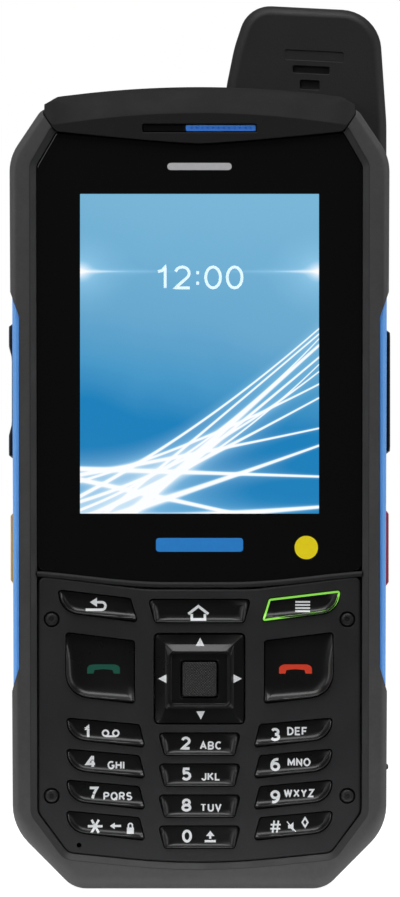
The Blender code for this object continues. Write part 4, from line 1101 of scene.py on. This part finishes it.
LEGENDS = {  # key: [(text or icon, height or scale, x, z), ...]
    "key_1": [("1", 2.2, -18.9, 26.4), ("@reels", 1.15, -14.9, 26.1)],
    "key_4": [("4", 2.2, -18.2, 21.4), ("GHI", 1.4, -14.0, 20.8)],
    "key_7": [("7", 2.2, -17.8, 16.1), ("PQRS", 1.4, -13.7, 15.6)],
    "key_star": [("*", 3.1, -17.5, 10.5), ("@arrow", 1.1, -14.1, 10.6), ("@lock", 1.4, -11.6, 10.2)],
    "key_2": [("2", 2.2, -2.3, 24.5), ("ABC", 1.4, 1.9, 24.1)],
    "key_5": [("5", 2.2, -2.2, 19.3), ("JKL", 1.4, 1.9, 18.9)],
    "key_8": [("8", 2.2, -2.2, 14.1), ("TUV", 1.4, 1.9, 13.7)],
    "key_0": [("0", 2.2, -2.1, 8.9), ("@shift", 1.15, 1.8, 8.8)],
    "key_3": [("3", 2.2, 12.7, 25.95), ("DEF", 1.4, 16.4, 26.5)],
    "key_6": [("6", 2.2, 12.7, 20.9), ("MNO", 1.4, 16.7, 21.3)],
    "key_9": [("9", 2.2, 12.7, 15.5), ("WXYZ", 1.4, 16.7, 16.1)],
    "key_hash": [("#", 2.3, 12.7, 10.5), ("@note", 1.0, 15.4, 10.5), ("@diamond", 1.1, 17.7, 11.2)],
    "back_key": [("@back", 1.05, -17.3, 47.6)],
    "home_key": [("@house", 1.05, -0.2, 46.3)],
    "menu_key": [("@menu", 1.0, 17.3, 47.4)],
    "call_key": [("@handset", 1.0, -16.1, 37.0)],
    "end_key": [("@handset", 1.0, 16.1, 37.0)],
}


def keys_and_legends():
    """The front keys' caps and, on each, its printed legend."""
    keys, pictures = key_outlines(), icons()
    inks = {"call_key": "green_ink", "end_key": "red_ink"}
    for name, corners in keys.items():
        depth = surface_of(key_cap(name, corners))
        ink = inks.get(name, "white_ink")
        for number, (mark, size, x, z) in enumerate(LEGENDS[name], 1):
            legend = f"{name}_legend_{number}"
            if mark.startswith("@"):
                fills, lines, width = pictures[mark[1:]]
                if fills:
                    printed(f"{legend}_fill", placed(fills, x, z, size), depth, name, "key", ink)
                lines, width = placed(lines, x, z, size), width * size
            else:
                lines, width = text_strokes(mark, size, x, z, weight=0.13 if mark in "*#" else 0.2)
            if lines:
                ribbons(legend, lines, width, depth, name, "key", ink)
        if name == "menu_key":
            loop = [tuple(p) for p in ring(inset(corners, 0.24))]
            ribbons("menu_key_outline", [loop + loop[:1]], 0.34, depth, name, "key", "green_line", 0.06)
    return keys


def navigation():
    """The four-way ring: four dished faces that rise to a square ridge, with a floor inside it."""
    # From the outer edge to the hole: half-widths to the sides, the top and the bottom, corner radius, depth.
    steps = (
        (7.5, 7.5, 7.5, 0.8, -10.2), (7.5, 7.5, 7.5, 0.8, -11.2), (7.38, 7.38, 7.38, 0.6, -11.42),
        (7.05, 6.95, 7.1, 0.3, -11.4), (6.3, 6.3, 6.4, 0.2, -11.45), (5.75, 5.75, 5.0, 0.25, -11.55),
        (5.3, 4.75, 4.65, 0.9, -12.3), (5.12, 4.62, 4.5, 0.9, -12.36), (4.98, 4.5, 4.36, 0.9, -12.3),
        (4.85, 4.38, 4.24, 0.8, -11.9), (4.7, 4.25, 4.1, 0.6, -11.72), (3.3, 3.2, 3.3, 0.4, -11.75),
        (3.12, 3.02, 3.2, 0.4, -11.6), (3.12, 3.02, 3.2, 0.4, -10.2),
    )

    def lift(p):
        """How far a point is raised, along the two diagonals of the sloping band."""
        near, far = sorted((abs(p.x), abs(p.y - NAV_Z)))
        return 0.22 * smooth(near / far, 0.88, 1.0) * smooth(far, 5.2, 5.9) * (1.0 - smooth(far, 7.1, 7.4))

    rings = []
    for side, top, bottom, radius, y in steps:
        points = ring(rectangle((-side, NAV_Z - bottom), (side, NAV_Z + top), radius), run_steps=6)
        rings.append([(p.x, y - lift(p), p.y) for p in points])
    face = dress(loft("nav_face", rings, closed=True), "nav_ring", "key", "key", "nav_ring", angle=20)
    depth = surface_of(face)
    arrows = (("up", 0.1, 6.15), ("down", 0.2, -6.1), ("left", -6.2, 0.0), ("right", 6.35, 0.0))
    for label, x, dz in arrows:
        along = Vector((x, dz)).normalized()
        across = Vector((-along.y, along.x))
        centre = Vector((x, NAV_Z + dz))
        back = centre - along * 0.65
        tip = [tuple(p) for p in (centre + along * 0.75, back + across * 0.72, back - across * 0.72)]
        printed(f"nav_arrow_{label}", [tip], depth, "nav_ring", "key", "white_ink")
    button = rectangle((-2.85, NAV_Z - 2.95), (2.85, NAV_Z + 2.8), 0.4)
    centre_key = rounded_slab("ok_button", button, -12.1, KEY_BACK, (0.3, 0.25))
    dress(centre_key, "ok_key", "key", "ok_key", "ok_key")


# ---- side keys and flap ----------------------------------------


def side_key(name, side, span, reach, base, slot, waist=0.0, rim=0.6):
    """A side key with a crowned face. waist makes a rocker's middle lower than its two ends."""
    low, high = span
    rings = []
    stations = 28
    for k in range(stations + 1):
        share = k / stations
        z = lerp(low, high, share)
        end = smooth(min(z - low, high - z), -0.15, 0.9)
        hump = 1.0 - waist * smooth(min(share, 1 - share), 0.17, 0.27)
        out = lerp(base + 0.9, reach, (0.35 + 0.65 * end) * hump)
        half = 3.1 - 0.35 * (1 - end)
        # Half of the section: distance from the middle plane, and depth.
        section = [(base, -half), (out - 0.5, -half), (out - 0.15, 0.2 - half), (out - 0.03, 0.6 - half),
                   (out, -1.0)]
        section += [(x, -y) for x, y in reversed(section)]
        rings.append([(side * x, y, z) for x, y in section])
    near, far = sorted((side * base, side * (base + 0.3)))
    flange = block("flange", (near, -3.7, low - rim), (far, 3.7, high + rim))
    dress(boolean(loft(name + "_face", rings), [flange], "UNION"), name, slot, slot, name)


def side_keys():
    side_key("volume_rocker", -1, ROCKER_SPAN, 32.2, 29.55, "key", waist=0.28, rim=0.1)
    side_key("amber_key", -1, AMBER_SPAN, 31.9, 29.7, "amber")
    side_key("talk_key", 1, TALK_SPAN, 32.2, 29.7, "key")
    side_key("emergency_key", 1, RED_SPAN, 31.95, 29.7, "red")


def port_flap():
    """The flap: a panel with a pull lip below, four ribs, and a barrel above for its pin."""
    low, high = 19.9, 31.4
    rings = []
    for z, sink in ((low, 0.35), (low + 0.15, 0.1), (low + 0.5, 0.0), (high - 0.5, 0.0), (high, 0.0)):
        section = ((29.6, -8.6), (31.0 - sink, -8.6), (31.15 - sink, -8.4), (31.2 - sink, -8.0),
                   (31.2 - sink, -2.1), (31.15 - sink, -1.7), (31.0 - sink, -1.5), (29.6, -1.5))
        rings.append([(x, y, z) for x, y in section])
    flap = loft("flap_panel", rings)
    pin_x, pin_z = 30.2, 31.7
    barrel = rod("barrel", (pin_x, -8.6, pin_z), (pin_x, -1.5, pin_z), 0.85)
    lip = rounded_slab("lip", rectangle((30.4, low + 0.02), (31.75, low + 0.9), 0.3), -7.05, -3.05)
    flap = boolean(flap, [barrel, lip], "UNION")
    ribs = [block("rib", (31.05, -7.9, z), (32.0, -2.2, z + 0.5)) for z in (22.6, 24.2, 25.8, 27.4)]
    bore = rod("bore", (pin_x, -9.6, pin_z), (pin_x, -0.5, pin_z), 0.5)
    dress(boolean(flap, [*ribs, bore]), "port_flap", "rubber", "rubber", "port_flap")


# ---- antenna and rear ----------------------------------------


def antenna():
    """The fixed paddle, with three grip grooves in front and a screw recess behind."""
    shell = rounded_slab("antenna_paddle", ANTENNA, 2.9, 12.2, (1.7, 2.2), (1.7, 2.2), steps=8, arc_steps=10)
    x, z = ANTENNA_SCREW
    cutters = [rod("screw_hole", (x, 0.0, z), (x, 14.0, z), 0.85)]
    cutters.append(rod("screw_head", (x, 10.7, z), (x, 14.0, z), 2.0))
    grooves = (
        (14.5, 24.3, 139.6, 141.2, 0.15), (15.8, 22.0, 137.4, 138.6, 0.9), (17.0, 20.3, 134.7, 136.2, 0.9),
    )
    for x_low, x_high, z_low, z_high, deep in grooves:
        groove = rectangle((x_low, z_low), (x_high, z_high), 0.3)
        groove = [(x, z - 0.05 * (x - 19.0), radius) for x, z, radius in groove]
        cutters.append(slab("groove", groove, (0, 2.9 + deep), (0, 3.05), (-0.25, 2.7)))
    dress(boolean(shell, cutters), "handset", "rubber", "antenna", "antenna_shell")


def camera():
    """The camera's cover glass, two metal rings, a lens and a flash."""
    front, back = (0.05, 0.05), (0.25, 0.2)
    window = rounded_slab("camera_cover", CAMERA_OUTLINE, 11.25, 12.3, front, back, arc_steps=12)
    dress(window, "handset", "glass", "camera_glass", "camera_window")
    for name, outer, inner, z in (("camera_ring", 3.1, 2.5, CAMERA_Z), ("flash_ring", 1.6, 1.2, FLASH_Z)):
        profile = ((outer, 12.2), (outer, 12.38), (outer - 0.12, 12.44), (inner + 0.12, 12.44),
                   (inner, 12.36), (inner, 12.2))
        dress(turned(name, CAMERA_X, z, profile, 12, closed=True), "handset", "steel", "steel")
    domes = (
        ("camera_eye", CAMERA_Z, 1.5, 12.36, (0.6, 0.1), "black_glass"),
        ("flash_lens", FLASH_Z, 1.15, 12.4, (0.5, 0.12), "lcd"),
    )
    for name, z, radius, y_high, dome, look in domes:
        outline = circle_corners(CAMERA_X, z, radius)
        dress(rounded_slab(name, outline, 12.2, y_high, back=dome, arc_steps=12), "handset", "glass", look)


def battery_cover():
    """The rear cover, hollowed behind, with a seat for each latch and seven grip grooves."""
    outline, front, back = mirrored(COVER_HALF), (0.1, 0.1), (0.6, 0.45)
    cover = rounded_slab("rear_cover", outline, 10.3, HALF_DEPTH, front, back, steps=5)
    cutters = [block("relief", (-22.4, 9.0, 22.2), (22.4, 10.9, 79.8))]
    for x in (-LATCH_X, LATCH_X):
        cutters.append(rod("bore", (x, 9.0, LATCH_Z), (x, 14.0, LATCH_Z), 1.4))
        cutters.append(turned("sink", x, LATCH_Z, ((3.45, 11.0), (3.45, 12.2), (3.8, 12.55)), 12))
    for z in GRIP_GROOVE_ZS:
        groove = rectangle((-17.0, z - 0.6), (17.0, z + 0.6), 0.5)
        cutters.append(slab("grip", groove, (0, 12.0), (-0.4, 12.55)))
    dress(boolean(cover, cutters), "battery_cover", "bumper", "bumper", "battery_cover")


def latch(label, x):
    """A slotted quarter-turn latch in the cover."""
    profile = ((1.2, 6.9), (1.2, 11.25), (3.15, 11.25), (3.2, 11.35), (3.2, 12.05), (3.12, 12.2),
               (2.95, 12.28), (2.7, 12.3))
    head = turned(f"latch_{label}", x, LATCH_Z, profile, 12)
    slot = block("slot", (x - 4, 11.7, LATCH_Z - 0.5), (x + 4, 13, LATCH_Z + 0.5))
    node = f"cover_latch_{label}"
    dress(boolean(head, [slot]), node, "steel", "steel", node)


def socket_screw(name, node, x, z, head_y, tip_y):
    """A round-headed screw with a six-sided socket, seen from behind."""
    profile = ((0.7, tip_y), (0.7, head_y), (1.75, head_y), (1.8, head_y + 0.1), (1.8, head_y + 0.6),
               (1.65, head_y + 0.82), (1.4, head_y + 0.9))
    head = turned(name, x, z, profile, 8)
    turns = [math.tau * k / 6 for k in range(6)]
    outline = [(x + 0.8 * math.cos(t), z + 0.8 * math.sin(t)) for t in turns]
    key = [at_depth(outline, y) for y in (head_y + 0.4, head_y + 2)]
    dress(boolean(head, [loft("socket", key)]), "handset", "dark_steel", "dark_steel", node)


def inner_parts():
    """CAD nodes whose shapes stay, with a finished material each."""
    looks = {
        "battery": "battery camera_module loudspeaker", "board": "main_board", "lcd": "lcd_module",
        "gold": "antenna_element battery_contacts", "magnesium": "chassis_frame", "rubber": "housing_seal",
        "silicone": "key_mat nav_pad",
        "steel": "flap_hinge_pin port_connector dome_sheet earpiece_receiver vibration_motor",
    }
    for look, nodes in looks.items():
        for node in nodes.split():
            data = frame["nodes"][node].data
            data.materials.clear()
            data.materials.append(MATERIALS[look])


# ---- stage ----------------------------------------


def floor():
    mesh = bpy.data.meshes.new("studio_floor")
    near, far, side, z = -0.046, 12.0, 12.0, -0.0001
    corners = [(-side, near, z), (side, near, z), (side, far, z), (-side, far, z)]
    mesh.from_pydata(corners, [], [(0, 1, 2, 3)])
    plane = new_object("studio_floor", mesh)
    material = bpy.data.materials.new("studio_floor")
    material.use_nodes = True
    shader = material.node_tree.nodes["Principled BSDF"]
    shader.inputs["Base Color"].default_value = (0.75, 0.75, 0.75, 1.0)
    shader.inputs["Roughness"].default_value = 0.9
    shader.inputs["Emission Color"].default_value = (1.0, 1.0, 1.0, 1.0)
    # Bright enough to look as white as the backdrop, but dimmer as a light on the phone's underside.
    ray = material.node_tree.nodes.new("ShaderNodeLightPath")
    glow = material.node_tree.nodes.new("ShaderNodeMapRange")
    glow.inputs["To Min"].default_value = 0.42
    glow.inputs["To Max"].default_value = 0.92
    material.node_tree.links.new(ray.outputs["Is Camera Ray"], glow.inputs["Value"])
    material.node_tree.links.new(glow.outputs["Result"], shader.inputs["Emission Strength"])
    plane.data.materials.append(material)


def world():
    """White to the camera, and as light: bright above and behind, dim towards the front."""
    shell = bpy.data.worlds.new("studio")
    bpy.context.scene.world = shell
    shell.use_nodes = True
    tree = shell.node_tree
    background = tree.nodes["Background"]
    coords = tree.nodes.new("ShaderNodeTexCoord")
    axes = tree.nodes.new("ShaderNodeSeparateXYZ")
    ramp = tree.nodes.new("ShaderNodeMapRange")
    ray = tree.nodes.new("ShaderNodeLightPath")
    pick = tree.nodes.new("ShaderNodeMix")
    tree.links.new(coords.outputs["Generated"], axes.inputs[0])
    tree.links.new(axes.outputs["Y"], ramp.inputs["Value"])
    for socket, number in (("From Min", -0.9), ("From Max", 0.3), ("To Min", 0.02), ("To Max", 0.2)):
        ramp.inputs[socket].default_value = number
    tree.links.new(ray.outputs["Is Camera Ray"], pick.inputs["Factor"])
    tree.links.new(ramp.outputs["Result"], pick.inputs[2])
    pick.inputs[3].default_value = 1.0
    tree.links.new(pick.outputs[0], background.inputs["Strength"])
    background.inputs["Color"].default_value = (1.0, 1.0, 1.0, 1.0)


def lights():
    aim = Vector((0.0, 0.0, 0.07))
    lamps = (
        ("top_softbox", (0.0, -0.22, 0.62), (0.6, 0.35), 2.55),
        ("left_strip", (-0.55, -0.16, 0.12), (0.2, 0.5), 0.62),
        ("right_strip", (0.55, -0.16, 0.12), (0.2, 0.5), 0.62),
        ("front_fill", (-0.4, -0.72, 0.42), (0.5, 0.5), 0.85),
    )
    for name, place, size, power in lamps:
        data = bpy.data.lights.new(name, "AREA")
        data.shape = "RECTANGLE"
        data.size, data.size_y = size
        data.energy = power
        lamp = new_object(name, data)
        lamp.location = place
        lamp.rotation_euler = (aim - Vector(place)).to_track_quat("-Z", "Y").to_euler()


def camera_view():
    """Straight at the front, from far enough that the sides don't show."""
    data = bpy.data.cameras.new("camera")
    data.sensor_fit = "AUTO"
    data.sensor_width = 36.0
    frame_height, distance = 150.33, 1500.0
    data.lens = data.sensor_width * distance / frame_height
    data.clip_end = 20.0
    eye = new_object("camera", data)
    eye.location = Vector((0.08, -HALF_DEPTH - distance, 73.91)) * MM
    eye.rotation_euler = (math.pi / 2, 0, 0)
    bpy.context.scene.camera = eye


def build():
    camera_view()
    front_shell()
    lens_rib()
    rear_shell()
    hood()
    slot_inserts()
    side_strip("left", -1, (ROCKER_SPAN, AMBER_SPAN))
    side_strip("right", 1, (TALK_SPAN, RED_SPAN))
    display()
    keypad_plate(keys_and_legends())
    keypad_screws()
    navigation()
    side_keys()
    port_flap()
    antenna()
    socket_screw("antenna_bolt", "antenna_screw", *ANTENNA_SCREW, 11.0, 0.2)
    socket_screw("case_bolt", "rear_case_screw", *CASE_SCREW, 11.3, -3.5)
    battery_cover()
    latch("left", -LATCH_X)
    latch("right", LATCH_X)
    camera()
    inner_parts()
    floor()
    world()
    lights()
    bpy.context.scene.view_settings.view_transform = "Standard"


build()
